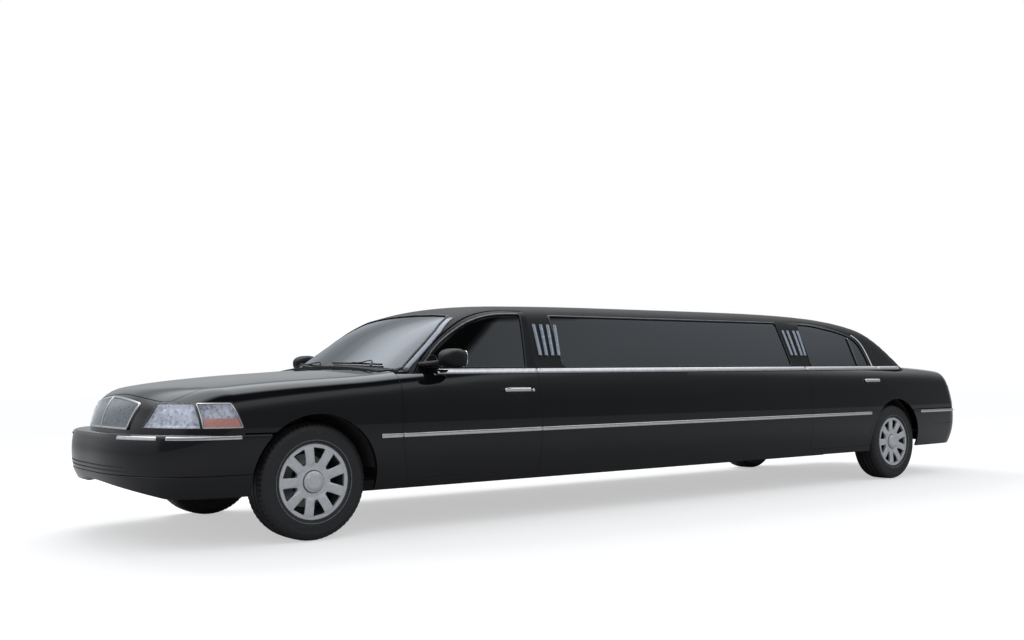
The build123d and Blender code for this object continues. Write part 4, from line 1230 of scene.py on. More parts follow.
def tail():
    lamp_face = Round(lower, -3.5, 0.0, scale=0.6, away=-1)
    top = TAIL_FOOT - 0.004
    outline = whole(np.concatenate([on_rear([(0, 0.640), (LAMP_OUT + 0.02, 0.640)]),
                                    on_rear([(LAMP_OUT + 0.02, 0.640), (LAMP_OUT + 0.01, top)]),
                                    on_rear([(LAMP_OUT + 0.01, top), (0, top)])]))
    panel("tail_panel", PAINT, "body", lamp_face, outline, grid=0.03, lift=-0.002)

    def lamp_shape(corners, radius):
        return shoot(lower, dense(rounded(corners, radius), 0.02), "rear")

    shape = lamp_shape([(LAMP_IN, TAIL_FOOT), (LAMP_OUT, TAIL_FOOT), (LAMP_OUT, TAIL_TOP - 0.006),
                        (LAMP_IN, TAIL_TOP + 0.009)], 0.012)
    panel("tail_lamp", RED, BOTH, lamp_face, shape, slot="lamp_red", grid=0.02, thick=0.025,
          replaces=("tail_lamps", "tail_lamps"))
    clear = lamp_shape([(0.60, 0.705), (0.86, 0.705), (0.86, 0.748), (0.60, 0.748)], 0.008)
    panel("reverse_lamp", LENS_SOLID, BOTH, lamp_face, clear, slot="lamp_clear", grid=0.02, thick=0.006, lift=0.002)
    rim = lamp_shape([(LAMP_IN + 0.006, TAIL_FOOT + 0.006), (LAMP_OUT - 0.006, TAIL_FOOT + 0.006),
                      (LAMP_OUT - 0.006, TAIL_TOP - 0.012), (LAMP_IN + 0.006, TAIL_TOP + 0.003)], 0.010)
    panel("tail_lamp_rim", CHROME, BOTH, lamp_face, shape, [rim], slot="bright_chrome", grid=0.02, thick=0.006,
          lift=0.003)
    plate_blank()
    bright_strip("lid_bar", lamp_face, np.linspace(-0.30, 0.30, 40), 0.872, 0.030, 0.014, "trunk_lid", 0.002)


def plate_blank():
    """The plate on the luggage lid, bare, with a raised border."""
    half_w, half_h, x, z = 0.152, 0.077, -4.2005, 0.770
    pts = rounded([(-half_w, -half_h), (half_w, -half_h), (half_w, half_h), (-half_w, half_h)], 0.008)
    m = len(pts)
    verts = [(x - out, a * wide, z + b * high) for out, wide, high in
             ((0.0020, 1, 1), (0.0, 1, 1), (0.0028, 0.97, 0.95), (0.0020, 0.95, 0.91)) for a, b in pts]
    faces = [tuple(range(2 * m - 1, m - 1, -1)), tuple(range(3 * m, 4 * m))]
    for i in range(m):
        j = (i + 1) % m
        faces += [(i, j, m + j, m + i)[::-1], (i, 2 * m + i, 2 * m + j, j)[::-1],
                  (2 * m + i, 3 * m + i, 3 * m + j, 2 * m + j)[::-1]]
    Shape().add(verts, faces).make("rear_plate_blank", PLATE, "trunk_lid", "bright_chrome", sharp=30)


# ------------------------------------------------------------------ greenhouse
FRONT_PANE_TOP = spline_points([(2.387, 1.038), (2.223, 1.184), (2.087, 1.274), (1.968, 1.337), (1.851, 1.378),
                                (1.734, 1.401), (1.594, 1.411)], 40)
FRONT_PANE = rounded([*FRONT_PANE_TOP, (1.503, 1.413), (1.598, 1.038)], [0.006] + [0.0] * 39 + [0.012, 0.012])
REAR_PANE_TOP = spline_points([(-1.750, 1.431), (-1.860, 1.429), (-2.012, 1.412), (-2.195, 1.385), (-2.350, 1.350),
                               (-2.440, 1.314), (-2.488, 1.262), (-2.508, 1.190), (-2.515, 1.120), (-2.512, 1.068)], 48)
REAR_PANE = rounded([(-1.636, 1.066), (-1.682, 1.429), *REAR_PANE_TOP], [0.012, 0.012] + [0.0] * 47 + [0.012])
LONG_PANE = rounded([(1.246, 1.040), (1.229, 1.410), (-1.383, 1.438), (-1.357, 1.062)], 0.022)
REAR_FRAME_X = -2.568
CABIN = Cabin()


def shrink(outline, by):
    """A closed outline moved in or out by a distance."""
    pts = np.asarray(outline, float)
    nxt, prv = np.roll(pts, -1, 0), np.roll(pts, 1, 0)
    t = nxt - prv
    t /= np.maximum(np.linalg.norm(t, axis=1), 1e-9)[:, None]
    area = np.sum(pts[:, 0] * nxt[:, 1] - nxt[:, 0] * pts[:, 1]) / 2
    n = np.stack([-t[:, 1], t[:, 0]], 1) * (1 if area > 0 else -1)
    return pts + n * by


FRONT_TOP = [tuple(p) for p in np.concatenate([
    spline_points([(2.462, 0.985), (2.427, 1.030), (2.231, 1.210), (2.092, 1.305), (1.972, 1.370), (1.839, 1.416),
                   (1.716, 1.436), (1.581, 1.441)], 48),
    rounded([(1.581, 1.441), (1.445, 1.442), (1.517, 1.010)], [0.0, 0.03, 0.0])[1:]])]
REAR_TOP = [tuple(p) for p in np.concatenate([
    rounded([(-1.520, 1.010), (-1.575, 1.457), (-1.700, 1.460)], [0.0, 0.03, 0.0]),
    spline_points([(-1.700, 1.460), (-1.850, 1.457), (-2.050, 1.441), (-2.250, 1.406), (-2.400, 1.368), (-2.500, 1.325),
                   (-2.548, 1.265), (-2.563, 1.180), (-2.567, 1.100), (REAR_FRAME_X, 1.030)], 60)[1:]])]
SCREEN_HALF = [(0.0, 1.016), (0.40, 1.018), (0.735, 1.022), (0.752, 1.033), (0.721, 1.114), (0.692, 1.195),
               (0.651, 1.287), (0.571, 1.389), (0.545, 1.400), (0.40, 1.412), (0.20, 1.420), (0.0, 1.422)]
BACK_HALF = [(0.0, 1.095), (0.66, 1.100), (0.70, 1.112), (0.62, 1.240), (0.545, 1.340), (0.515, 1.352), (0.0, 1.362)]


def both_halves(half):
    """A closed outline from its left half, which runs from the middle of the foot to the middle of the top."""
    return half + [(-y, z) for y, z in half[-2:0:-1]]


def roof():
    left = np.concatenate([
        on_front([(0.0, 0.985), (0.76, 0.985)], house),
        on_side([(2.478, 0.985)] + [(x + HALF_GAP * 1.2, z + HALF_GAP * 1.2) for x, z in FRONT_TOP[1:-1]], house),
        on_side([(B_CUT - HALF_GAP, 1.010), (B_CUT - HALF_GAP, 0.99)], house),
        belt(B_CUT - HALF_GAP, C_CUT + HALF_GAP, 0.012, house),
        on_side([(C_CUT + HALF_GAP, 1.0)] + [(x - HALF_GAP * 1.2, z + HALF_GAP * 1.2) for x, z in REAR_TOP[1:-1]],
                house),
        on_side([(REAR_FRAME_X - HALF_GAP, 1.03), (REAR_FRAME_X - HALF_GAP, 1.024)], house),
        belt(REAR_FRAME_X - HALF_GAP, -3.10, 0.012, house),
        on_rear([(0.80, 1.030), (0.0, 1.030)], house)])
    outline = whole(left)
    screen = shoot(house, dense(both_halves(SCREEN_HALF), 0.03), "front")
    back = shoot(house, dense(both_halves(BACK_HALF), 0.03), "rear")
    window = shoot(house, dense(LONG_PANE, 0.03), "side")
    holes = [screen, back, window, flip_y(window)]
    panel("roof_skin", VINYL, "body", CABIN, outline, holes, "roof_vinyl", "roof", grid=0.030, thick=0.024, step=0.02)
    panel("headlining", HEADLINE, "body", CABIN, outline, holes, "dash_plastic", grid=0.045, thick=0.004, step=0.03,
          lift=-0.027)


def glazing():
    def pane(name, mat, bodies, outline, plane, frame2d, replaces, lift=-0.005, slot="dark_glass"):
        pts = shoot(house, dense(shrink(outline, -0.008), 0.03), plane)
        panel(name, mat, bodies, frame2d, pts, slot=slot, replaces=replaces, grid=0.045, thick=0.005, lift=lift,
              step=0.03)

    for name, bodies, outline, replaces in (
            ("side_window", BOTH, LONG_PANE, ("side_windows", "side_windows")),
            ("front_door_pane", FRONT_DOORS, FRONT_PANE, ("front_door_glass_left", "front_door_glass_right")),
            ("rear_door_pane", REAR_DOORS, REAR_PANE, ("rear_door_glass_left", "rear_door_glass_right"))):
        pane(name, SIDE_GLASS, bodies, outline, "side", UPPER, replaces)
    pane("windshield_pane", SCREEN_GLASS, "body", both_halves(SCREEN_HALF), "front", Fan(house, 1.6, 0.90, scale=0.9),
         "windshield", -0.004, "screen_glass")
    pane("rear_window_pane", SIDE_GLASS, "body", both_halves(BACK_HALF), "rear",
         Fan(house, -2.2, 0.90, scale=0.9, away=-1), "rear_window", -0.004)


def ring_strip(name, outline, plane, bodies, mat, width, height, f=house, closed=True):
    """A half-round strip along an outline given in a view."""
    p, n = surface_path(f, outline, plane, 0.02, closed)
    pieces(name, mat, bodies, sweep(p + n * 0.0005, n, half_round(width, height, 0.004), closed=closed))


def door_shelf():
    """The top of each front door between its outer skin and the foot of its window frame."""
    xs = np.linspace(B_CUT + HALF_GAP, 2.500, 30)
    outer = shoot(lower, np.stack([xs, belt_z(xs) - 0.014], 1), "side") - np.array([0, 0.004, 0])
    inner = shoot(house, np.stack([xs, belt_z(xs) - 0.004], 1), "side") - np.array([0, 0.012, 0])
    deep = np.array([0, 0, 0.010])
    verts, faces = tube([outer, inner, inner - deep, outer - deep])
    faces = [t[::-1] for t in faces[:-2]] + faces[-2:]
    pieces("front_door_shelf", GLOSS_BLACK, FRONT_DOORS, (verts, faces), smooth=False)


def door_frames():
    def frame(name, top, pane_outline, bodies, ahead, foot):
        left = on_side([(x - ahead * HALF_GAP * 1.2, z - HALF_GAP * 1.2) for x, z in top], house)
        hole = shoot(house, dense(pane_outline, 0.02), "side")
        panel(name, FRAME_BLACK, bodies, UPPER, chain(left, on_side(foot, house)), [hole], grid=0.022, thick=0.030,
              step=0.015)

    frame("front_door_frame", FRONT_TOP, FRONT_PANE, FRONT_DOORS, 1, [(B_CUT + HALF_GAP, 0.992), (2.475, 0.978)])
    frame("rear_door_frame", REAR_TOP, REAR_PANE, REAR_DOORS, -1,
          [(REAR_FRAME_X + HALF_GAP, 1.020), (C_CUT - HALF_GAP, 1.008)])
    for name, outline, bodies in (("front", FRONT_PANE, FRONT_DOORS), ("rear", REAR_PANE, REAR_DOORS),
                                  ("long", LONG_PANE, BOTH)):
        ring_strip(name + "_pane_trim", shrink(outline, -0.004), "side", bodies, RUBBER, 0.010, 0.004)
    ring_strip("screen_trim", both_halves(SCREEN_HALF), "front", "body", RUBBER, 0.016, 0.004)
    ring_strip("back_trim", both_halves(BACK_HALF), "rear", "body", CHROME, 0.014, 0.005)
    # painted highlights: thin light lines along the edges of the glass; and the bright strip down the rear of the door
    # frame
    front_edge = [(x, z + 0.008) for x, z in FRONT_PANE_TOP if z > 1.11] + [(1.512, 1.421)]
    rear_edge = [(x, z + 0.008) for x, z in REAR_PANE_TOP if x > -2.45]
    bright = [(x + 0.008, z) for x, z in REAR_TOP if x < -2.44]
    for name, outline, bodies, mat, width, height in (
            ("front_pane_highlight", front_edge, FRONT_DOORS, LIP_GREY_AND_EDGE_HIGHLIGHT, 0.007, 0.003),
            ("long_pane_highlight", [(1.253, 1.050), (1.236, 1.417), (-1.380, 1.445)], BOTH, LIP_GREY_AND_EDGE_HIGHLIGHT, 0.008, 0.003),
            ("rear_pane_highlight", rear_edge, REAR_DOORS, LIP_GREY_AND_EDGE_HIGHLIGHT, 0.007, 0.003),
            ("rear_frame_bright", bright, REAR_DOORS, CHROME, 0.014, 0.006)):
        ring_strip(name, outline, "side", bodies, mat, width, height, closed=False)
    # painted reflection: a grey strip down the front face of each A-pillar, where the black paint mirrors a bright sky
    pillar = [(0.779, 1.015), (0.751, 1.099), (0.720, 1.185), (0.679, 1.280), (0.610, 1.381)]
    ring_strip("pillar_sky_reflection", pillar, "front", BOTH, PILLAR_REFLECTION_GREY, 0.040, 0.004, closed=False)
    door_shelf()
    ring_strip("rear_divider", [(-2.366, 1.325), (-2.339, 1.062)], "side", REAR_DOORS, GLOSS_BLACK, 0.020, 0.006,
               closed=False)


def slats():
    """Short leaning bars on the pillars ahead of and behind the long window."""
    rows = [("slat_front", BOTH, [(1.408, 1.436), (1.342, 1.380), (1.278, 1.323), (1.212, 1.266)], 1.344, 1.120),
            ("slat_rear", BOTH, [(-1.439, -1.419), (-1.505, -1.478)], 1.372, 1.150),
            ("slat_door", REAR_DOORS, [(-1.592, -1.556), (-1.650, -1.606)], 1.372, 1.150)]
    for name, bodies, bars, top, foot in rows:
        shape = Shape()
        for x_top, x_foot in bars:
            p, n = surface_path(house, [(x_foot, foot), (x_top, top)], "side", 0.03)
            shape.add(*sweep(p + n * 0.001, n, half_round(0.026, 0.010, 0.003)))
        shape.make(name, SLAT, bodies, "bright_chrome", sharp=50)


def mouldings():
    """Bright strips along the belt and the flanks, cut where the doors are."""
    runs = [("belt_front_door", FRONT_DOORS, 2.334, B_CUT + HALF_GAP), ("belt_middle", BOTH, B_CUT - HALF_GAP,
            C_CUT + HALF_GAP), ("belt_rear_door", REAR_DOORS, C_CUT - HALF_GAP, D_CUT + HALF_GAP),
            ("belt_quarter", BOTH, D_CUT - HALF_GAP, -2.985)]
    for name, bodies, a, b in runs:
        xs = np.linspace(a, b, max(8, int(abs(a - b) / 0.03)))
        zs = belt_z(xs) + 0.010
        p = shoot(lower, np.stack([xs, belt_z(xs) - 0.004], 1), "side")
        p[:, 2] = zs
        q = shoot(house, np.stack([xs, zs], 1), "side")
        p[:, 1] = np.maximum(p[:, 1] - 0.006, q[:, 1]) + 0.002
        n = np.tile(np.array([0.0, 0.93, 0.37]), (len(xs), 1))
        pieces(name, CHROME, bodies, sweep(p, n, half_round(0.034, 0.009, 0.012)))

    def rub_z(x):
        return 0.609 + (2.789 - x) * 0.00388

    runs = [("rub_fender", BOTH, 2.789, FRONT_CUT + HALF_GAP), ("rub_front_door", FRONT_DOORS, FRONT_CUT - HALF_GAP,
            B_CUT + HALF_GAP), ("rub_middle", BOTH, B_CUT - HALF_GAP, C_CUT + HALF_GAP),
            ("rub_rear_door", REAR_DOORS, C_CUT - HALF_GAP, -2.400)]
    for name, bodies, a, b in runs:
        pts = [(x, rub_z(x)) for x in np.linspace(a, b, max(6, int(abs(a - b) / 0.04)))]
        ring_strip(name, pts, "side", bodies, CHROME, 0.027, 0.008, f=lower, closed=False)


def handles():
    """On each door a grip over a shallow cup; the front doors have a round lock too."""
    for name, bodies, a, b, z in (("front", FRONT_DOORS, 1.606, 1.830, 0.880),
                                  ("rear", REAR_DOORS, -2.556, -2.336, 0.926)):
        p, n = surface_path(lower, [(x, z) for x in np.linspace(a, b, 30)], "side", 0.02)
        s = np.linspace(0, 1, len(p))
        rise = 0.004 + 0.020 * np.minimum(1, np.minimum(s, 1 - s) * 9) ** 0.7
        grip = sweep(p + n * rise[:, None], n, [(-0.011, -0.006), (-0.015, 0.0), (-0.011, 0.007), (0.0, 0.009),
                                                (0.011, 0.007), (0.015, 0.0), (0.011, -0.006)])
        pieces("handle_" + name, CHROME, bodies, grip)
        cup = rounded([(a + 0.03, z - 0.020), (b - 0.03, z - 0.020), (b - 0.03, z + 0.020), (a + 0.03, z + 0.020)],
                      0.018)
        panel("handle_cup_" + name, GLOSS_BLACK, bodies, FLANK, shoot(lower, cup, "side"), grid=0.01, thick=0.002,
              lift=0.0008)
        if name == "front":
            centre = shoot(lower, [(a - 0.028, z)], "side")
            lock = turned([(0.011, -0.004), (0.011, 0.001), (0.009, 0.003), (0.0005, 0.0035), (0.0005, -0.004)], 24,
                          centre[0], gradient(lower, centre)[0])
            pieces("lock_" + name, CHROME, bodies, lock)


def mirrors():
    """Door mirrors: a rounded shell, the glass in its rear face and a foot on the door."""
    cx, cy, cz = 2.296, 1.038, 1.090
    rx, ry, rz = 0.096, 0.104, 0.063
    back = 0.62  # depth of the shell's rear half, as a share of its front half's
    nu, nv = 40, 28

    def squared(y, z, power):
        """How far a round outline is pushed out to a squarer one."""
        e = (abs(y) ** power + abs(z) ** power) ** (1 / power)
        return math.hypot(y, z) / e if e > 1e-9 else 1

    verts = []
    for i in range(nv + 1):
        th = math.pi * i / nv
        for j in range(nu):
            ph = 2 * math.pi * j / nu
            x, y, z = math.cos(th), math.sin(th) * math.cos(ph), math.sin(th) * math.sin(ph)
            k = squared(y, z, 3.4)
            if x < 0:
                x = -min(1.0, abs(x) * 1.6) * back
            verts.append((cx + x * rx, cy + y * k * ry + 0.10 * (x * rx), cz + z * k * rz))
    faces = [(i * nu + j, i * nu + (j + 1) % nu, (i + 1) * nu + (j + 1) % nu, (i + 1) * nu + j)
             for i in range(nv) for j in range(nu)]
    shell = Shape().add(verts, faces)
    m = 40
    rim = [(y * squared(y, z, 4), z * squared(y, z, 4)) for y, z in
           ((math.cos(2 * math.pi * j / m), math.sin(2 * math.pi * j / m)) for j in range(m))]
    verts = []
    for depth, size in ((0.004, 0.84), (-0.0015, 0.84), (-0.0015, 0.80)):
        verts += [(cx - rx * back - 0.0005 + depth, cy - 0.10 * rx * back + y * ry * size, cz + z * rz * size)
                  for y, z in rim]
    faces = [tuple(range(2 * m, 3 * m)), tuple(range(m - 1, -1, -1))]
    faces += [(r * m + j, r * m + (j + 1) % m, (r + 1) * m + (j + 1) % m, (r + 1) * m + j)
              for r in (0, 1) for j in range(m)]
    pane = Shape().add(verts, faces)
    path = spline_points(np.array([(2.375, 0.800, 1.052), (2.370, 0.880, 1.054), (2.355, 0.960, 1.060),
                                   (2.330, 1.010, 1.070)]), 12)
    foot = Shape().add(*sweep(path, upwards(path), [(-0.034, -0.012), (-0.040, 0.0), (-0.030, 0.016), (0.0, 0.021),
                                                    (0.030, 0.016), (0.040, 0.0), (0.034, -0.012)]))
    shell.make("mirror_shell", MIRROR_BLACK, FRONT_DOORS, "body_black", 60, ("mirror_left", "mirror_right"))
    pane.make("mirror_glass", SILVERED, FRONT_DOORS, "bright_chrome", sharp=30)
    foot.make("mirror_foot", MIRROR_BLACK, FRONT_DOORS, "body_black", sharp=60)
    sail = rounded([(2.404, 1.028), (2.310, 1.110), (2.280, 1.110), (2.280, 1.038)], 0.012)
    panel("mirror_sail", GLOSS_BLACK, FRONT_DOORS, UPPER, shoot(house, dense(sail, 0.02), "side"), grid=0.02,
          thick=0.012, lift=0.010)


def cowl_and_wipers():
    back = on_top([(2.44, y) for y in np.linspace(0.80, -0.80, 20)])
    front = shoot(lower, [(2.737 - cowl_bow(y), y) for y in np.linspace(-0.80, 0.80, 40)], "top")
    outline = chain(front, on_top([(2.70, 0.80), (2.44, 0.80)]), back, on_top([(2.44, -0.80), (2.70, -0.80)]))
    panel("cowl_panel", PLASTIC, "body", Fan(lower, 2.0, 0.60), outline, slot="frame_black", grid=0.03, thick=0.01,
          lift=-0.010)
    slots = Shape()
    for k in range(44):
        y = -0.66 + 1.32 * k / 43
        x = 2.700 - cowl_bow(y)
        p = shoot(lower, [(x, y), (x - 0.055, y)], "top") + np.array([0, 0, -0.0085])
        slots.add(*sweep(p, upwards(p), bar(0.005, 0.004, -0.003, 0.003)))
    slots.make("cowl_louvres", RUBBER, "body", "frame_black", sharp=30)
    for name, y0, y1 in (("wiper_left", 0.62, 0.05), ("wiper_right", -0.08, -0.62)):
        ys = np.linspace(y0, y1, 24)
        p = shoot(house, np.stack([ys, 1.045 + 0.030 * np.sin(np.linspace(0.2, 1.0, 24))], 1), "front")
        n = gradient(house, p)
        shape = Shape().add(*sweep(p + n * 0.008, n, bar(0.004, 0.003, -0.006, 0.004)))
        pivot = np.array([2.640, y0 - 0.03, 1.050])
        arm = np.stack([pivot, pivot + [-0.02, -0.02, 0.022], p[8] + n[8] * 0.016, p[12] + n[12] * 0.014])
        shape.add(*sweep(spline_points(arm, 16), np.tile([0.2, 0.0, 0.98], (16, 1)), bar(0.007, 0.006, -0.003, 0.004)))
        shape.make(name, RUBBER, "body", "frame_black")


# ------------------------------------------------------------------ wheels
LIP_R, DISC_R = 0.234, 0.221
SPOKE_COUNT = 9


def tyre_shape():
    """Sidewalls with a bead, shoulder steps and ribs, and a tread with four grooves and cross cuts."""
    side = [(0.2195, 0.094), (0.226, 0.100), (0.236, 0.104), (0.240, 0.1075), (0.252, 0.1100), (0.268, 0.1120),
            (0.290, 0.1125), (0.305, 0.1118), (0.3065, 0.1124), (0.309, 0.1112), (0.320, 0.1085), (0.3325, 0.1035),
            (0.3395, 0.0975), (0.3440, 0.0895)]
    tread = []
    for g in (0.062, 0.022, -0.022, -0.062):
        crown = TYRE_R - 0.0035 * (g / 0.08) ** 2
        tread += [(crown, g + 0.0062), (crown - 0.0085, g + 0.0048), (crown - 0.0085, g - 0.0048), (crown, g - 0.0062)]
    tread = [(0.3478, 0.080), (0.3490, 0.072)] + tread + [(0.3490, -0.072), (0.3478, -0.080)]
    profile = side + tread + [(r, -y) for r, y in side[::-1]] + [(0.214, -0.080), (0.214, 0.080)]
    segments, m = 264, len(profile)
    verts, faces = [], []
    for i in range(segments):
        a = 2 * math.pi * i / segments
        for r, y in profile:
            deep = 0.0065 if i % 4 == 0 and 0.070 < abs(y) < 0.1000 and r > 0.335 else 0.0
            twist = 0.0 if abs(y) > 0.09 or r < 0.33 else 0.010 * y / 0.08
            verts.append(((r - deep) * math.cos(a + twist), y, (r - deep) * math.sin(a + twist)))
        j = (i + 1) % segments
        faces += [(i * m + k, i * m + (k + 1) % m, j * m + (k + 1) % m, j * m + k) for k in range(m)]
    return np.array(verts), faces


class WheelFace:
    """The wheel's outer face as a height over its own flat disc, in the wheel's coordinates."""

    def height(self, u, v):
        r = np.hypot(u, v)
        a = np.arctan2(v, u)
        base = 0.100 - 0.010 * np.clip((0.21 - r) / 0.12, 0, 1) ** 1.5
        spoke = np.cos(a * SPOKE_COUNT)
        mask = np.clip((r - 0.092) / 0.02, 0, 1) * np.clip((0.214 - r) / 0.02, 0, 1)
        return base + 0.0045 * mask * np.clip(spoke * 1.5 + 0.5, 0, 1)

    def f(self, p):
        return p[..., 1] - self.height(p[..., 0], p[..., 2])

    def to_3d(self, uv):
        return np.stack([uv[:, 0], self.height(uv[:, 0], uv[:, 1]), uv[:, 1]], 1)

    def to_2d(self, p):
        return np.asarray(p)[:, [0, 2]]


def wheel_windows():
    """Trapezoid openings between the broad spokes."""
    holes = []
    for k in range(SPOKE_COUNT):
        a = 2 * math.pi * (k + 0.5) / SPOKE_COUNT
        pts = []
        for r, w in ((0.108, -0.0105), (0.108, 0.0105), (0.203, 0.0430), (0.203, -0.0430)):
            pts.append((r * math.cos(a) - w * math.sin(a), r * math.sin(a) + w * math.cos(a)))
        holes.append(rounded(pts, 0.009))
    return holes


def wheel_pieces():
    """Name, shape, finish, slot, sharp angle and how far in from the wheel's middle, for one wheel."""
    face = WheelFace()
    circle = [(DISC_R * math.cos(a), DISC_R * math.sin(a)) for a in np.linspace(0, 2 * math.pi, 180, endpoint=False)]
    holes = [face.to_3d(np.array(h)) for h in wheel_windows()]
    disc = Shape().add(*sheet_shape(face, face.to_3d(np.array(circle)), holes, grid=0.007, thick=0.020, step=0.006,
                                    lip=0.002))
    # the rim's face between the disc and the lip is near-black: painted shade in the gap there
    rim = [(0.2165, 0.078), (0.2165, 0.086), (0.2200, 0.0905), (0.2280, 0.0930), (LIP_R - 0.002, 0.0950),
           (LIP_R, 0.0990), (LIP_R + 0.0005, 0.1030), (LIP_R - 0.002, 0.1040), (LIP_R - 0.006, 0.1010),
           (0.2265, 0.0975), (0.2185, 0.0955), (0.2150, 0.0930), (0.2130, 0.0880), (0.2125, 0.0700), (0.2060, 0.0550),
           (0.1960, 0.0400), (0.1960, -0.0600), (0.2080, -0.0780), (0.2080, -0.0960), (LIP_R, -0.0980),
           (LIP_R, -0.1010), (0.2130, -0.1010), (0.2130, -0.0800), (0.2000, -0.0640), (0.2000, 0.0440),
           (0.2100, 0.0600)]
    barrel = Shape().add(*lathe(rim, 120))
    cap = [(0.0005, 0.1110), (0.030, 0.1106), (0.044, 0.1094), (0.0485, 0.1072), (0.0500, 0.1045), (0.0515, 0.1030),
           (0.0610, 0.1020), (0.0635, 0.1000), (0.0645, 0.0920), (0.0005, 0.0920)]
    boss = Shape().add(*lathe(cap))
    # a thin near-black ring at the cap's foot: painted shade in the groove there
    ring = [(0.0645, 0.0860), (0.0645, 0.0915), (0.0668, 0.0920), (0.0690, 0.0915), (0.0690, 0.0860)]
    dark = Shape().add(*lathe(ring))
    edge = [(DISC_R + 0.0005, 0.0880), (DISC_R + 0.0005, 0.1000), (DISC_R + 0.0020, 0.1020), (DISC_R + 0.0040, 0.1000),
            (DISC_R + 0.0040, 0.0880)]
    boss.add(*lathe(edge, 120))
    lip = [(0.2440, 0.1050), (0.2450, 0.1108), (0.2468, 0.1118), (0.2486, 0.1112), (0.2496, 0.1060)]
    line = Shape().add(*lathe(lip, 120))
    shield = [(0.0005, -0.0500), (0.0800, -0.0500), (0.1960, -0.0560), (0.1960, -0.0590), (0.0005, -0.0530)]
    dark.add(*lathe(shield, 72))
    brake = [(0.060, 0.000), (0.062, 0.022), (0.090, 0.026), (0.095, 0.006), (0.098, 0.004), (0.158, 0.004),
             (0.160, 0.002), (0.160, -0.020), (0.158, -0.022), (0.060, -0.022)]
    rotor = Shape().add(*lathe(brake, 90))
    return (("wheel_face_", disc, ALLOY, "wheel_alloy", None, 0),
            ("wheel_rim_", barrel, DARK_METAL_AND_SHADE, "wheel_alloy", 50, 0),
            ("wheel_lip_", line, LIP_GREY_AND_EDGE_HIGHLIGHT, "wheel_alloy", 50, 0),
            ("wheel_boss_", boss, ALLOY, "wheel_alloy", 40, 0),
            ("wheel_ring_", dark, DARK_METAL_AND_SHADE, "wheel_alloy", 50, 0),
            ("brake_disc_", rotor, STEEL, "bare_steel", 40, 0.030),
            ("tyre_rubber_", Shape().add(*tyre_shape()), TYRE, "tyre_black", 50, 0))


def place(shape, centre, side):
    """A wheel piece whose outer side is +Y, set on an axle end."""
    moved = Shape()
    v = np.array(shape.v) * (1, side, 1) + np.asarray(centre)
    n = np.array(shape.n) * (1, side, 1)
    moved.v, moved.n = [tuple(p) for p in v], [tuple(p) for p in n]
    moved.f = [t[::-1] for t in shape.f] if side < 0 else list(shape.f)
    return moved


def wheels():
    replaced = {"wheel_face_": "rim_", "tyre_rubber_": "tyre_"}
    parts = wheel_pieces()
    for end, x, y in (("front", FRONT_X, FRONT_Y), ("rear", REAR_X, REAR_Y)):
        for side, k in (("left", 1), ("right", -1)):
            tag = "%s_%s" % (end, side)
            for name, shape, mat, slot, sharp, inset in parts:
                replaces = replaced[name] + tag if name in replaced else ()
                moved = place(shape, (x, k * (y - inset), TYRE_R), k)
                moved.make(name + tag, mat, "wheel_" + tag, slot, sharp, replaces)


# ------------------------------------------------------------------ inside
SEAT_FLOOR = 0.345  # the cabin floor under the seats


def cushion(box_low, box_high, channels, along, name, crown=0.035, lean=0.0, pivot=None):
    """A stuffed pad: a rounded block whose top swells between sewn channels and whose sides pull in.

    channels is how many padded panels it has, side by side along the axis numbered by along."""
    low, high = np.array(box_low, float), np.array(box_high, float)
    n = 34
    verts, faces, index = [], [], {}

    def corner(p):
        key = tuple(np.round(p, 5))
        if key not in index:
            index[key] = len(verts)
            verts.append(p)
        return index[key]

    for axis in range(3):
        for sign in (-1, 1):
            for i in range(n):
                for j in range(n):
                    quad = []
                    for a, b in ((i, j), (i + 1, j), (i + 1, j + 1), (i, j + 1)):
                        p = np.zeros(3)
                        p[axis] = sign
                        p[(axis + 1) % 3] = -1 + 2 * a / n
                        p[(axis + 2) % 3] = -1 + 2 * b / n
                        quad.append(corner(p))
                    faces.append(tuple(quad) if sign > 0 else tuple(quad[::-1]))
    pts = np.array(verts)
    q = np.abs(pts)
    power = 5.0
    shaped = pts / ((q**power).sum(1) ** (1 / power))[:, None] * q.max(1)[:, None]
    wave = np.abs(np.sin((shaped[:, along] + 1) / 2 * math.pi * channels)) ** 0.55
    swell = 1 - np.clip(np.abs(shaped[:, 1 - along]), 0, 1) ** 6
    out = shaped * (high - low) / 2
    out[:, 2] += np.clip(shaped[:, 2], 0, 1) * (crown * (wave - 1) * 0.7 + crown * 0.3 * (swell - 1))
    for ax in (0, 1):
        waist = np.cos(shaped[:, 2] * math.pi / 2) * 0.006
        out[:, ax] += np.sign(out[:, ax]) * waist * (np.abs(shaped[:, ax]) > 0.8)
    world = out + (low + high) / 2
    if lean:
        a = math.radians(lean)
        x, y, z = (world - np.array(pivot)).T
        world = np.stack([x * math.cos(a) - z * math.sin(a), y, x * math.sin(a) + z * math.cos(a)], 1) + np.array(pivot)
    obj = new_object(name, world, faces, LEATHER, "body")
    return obj


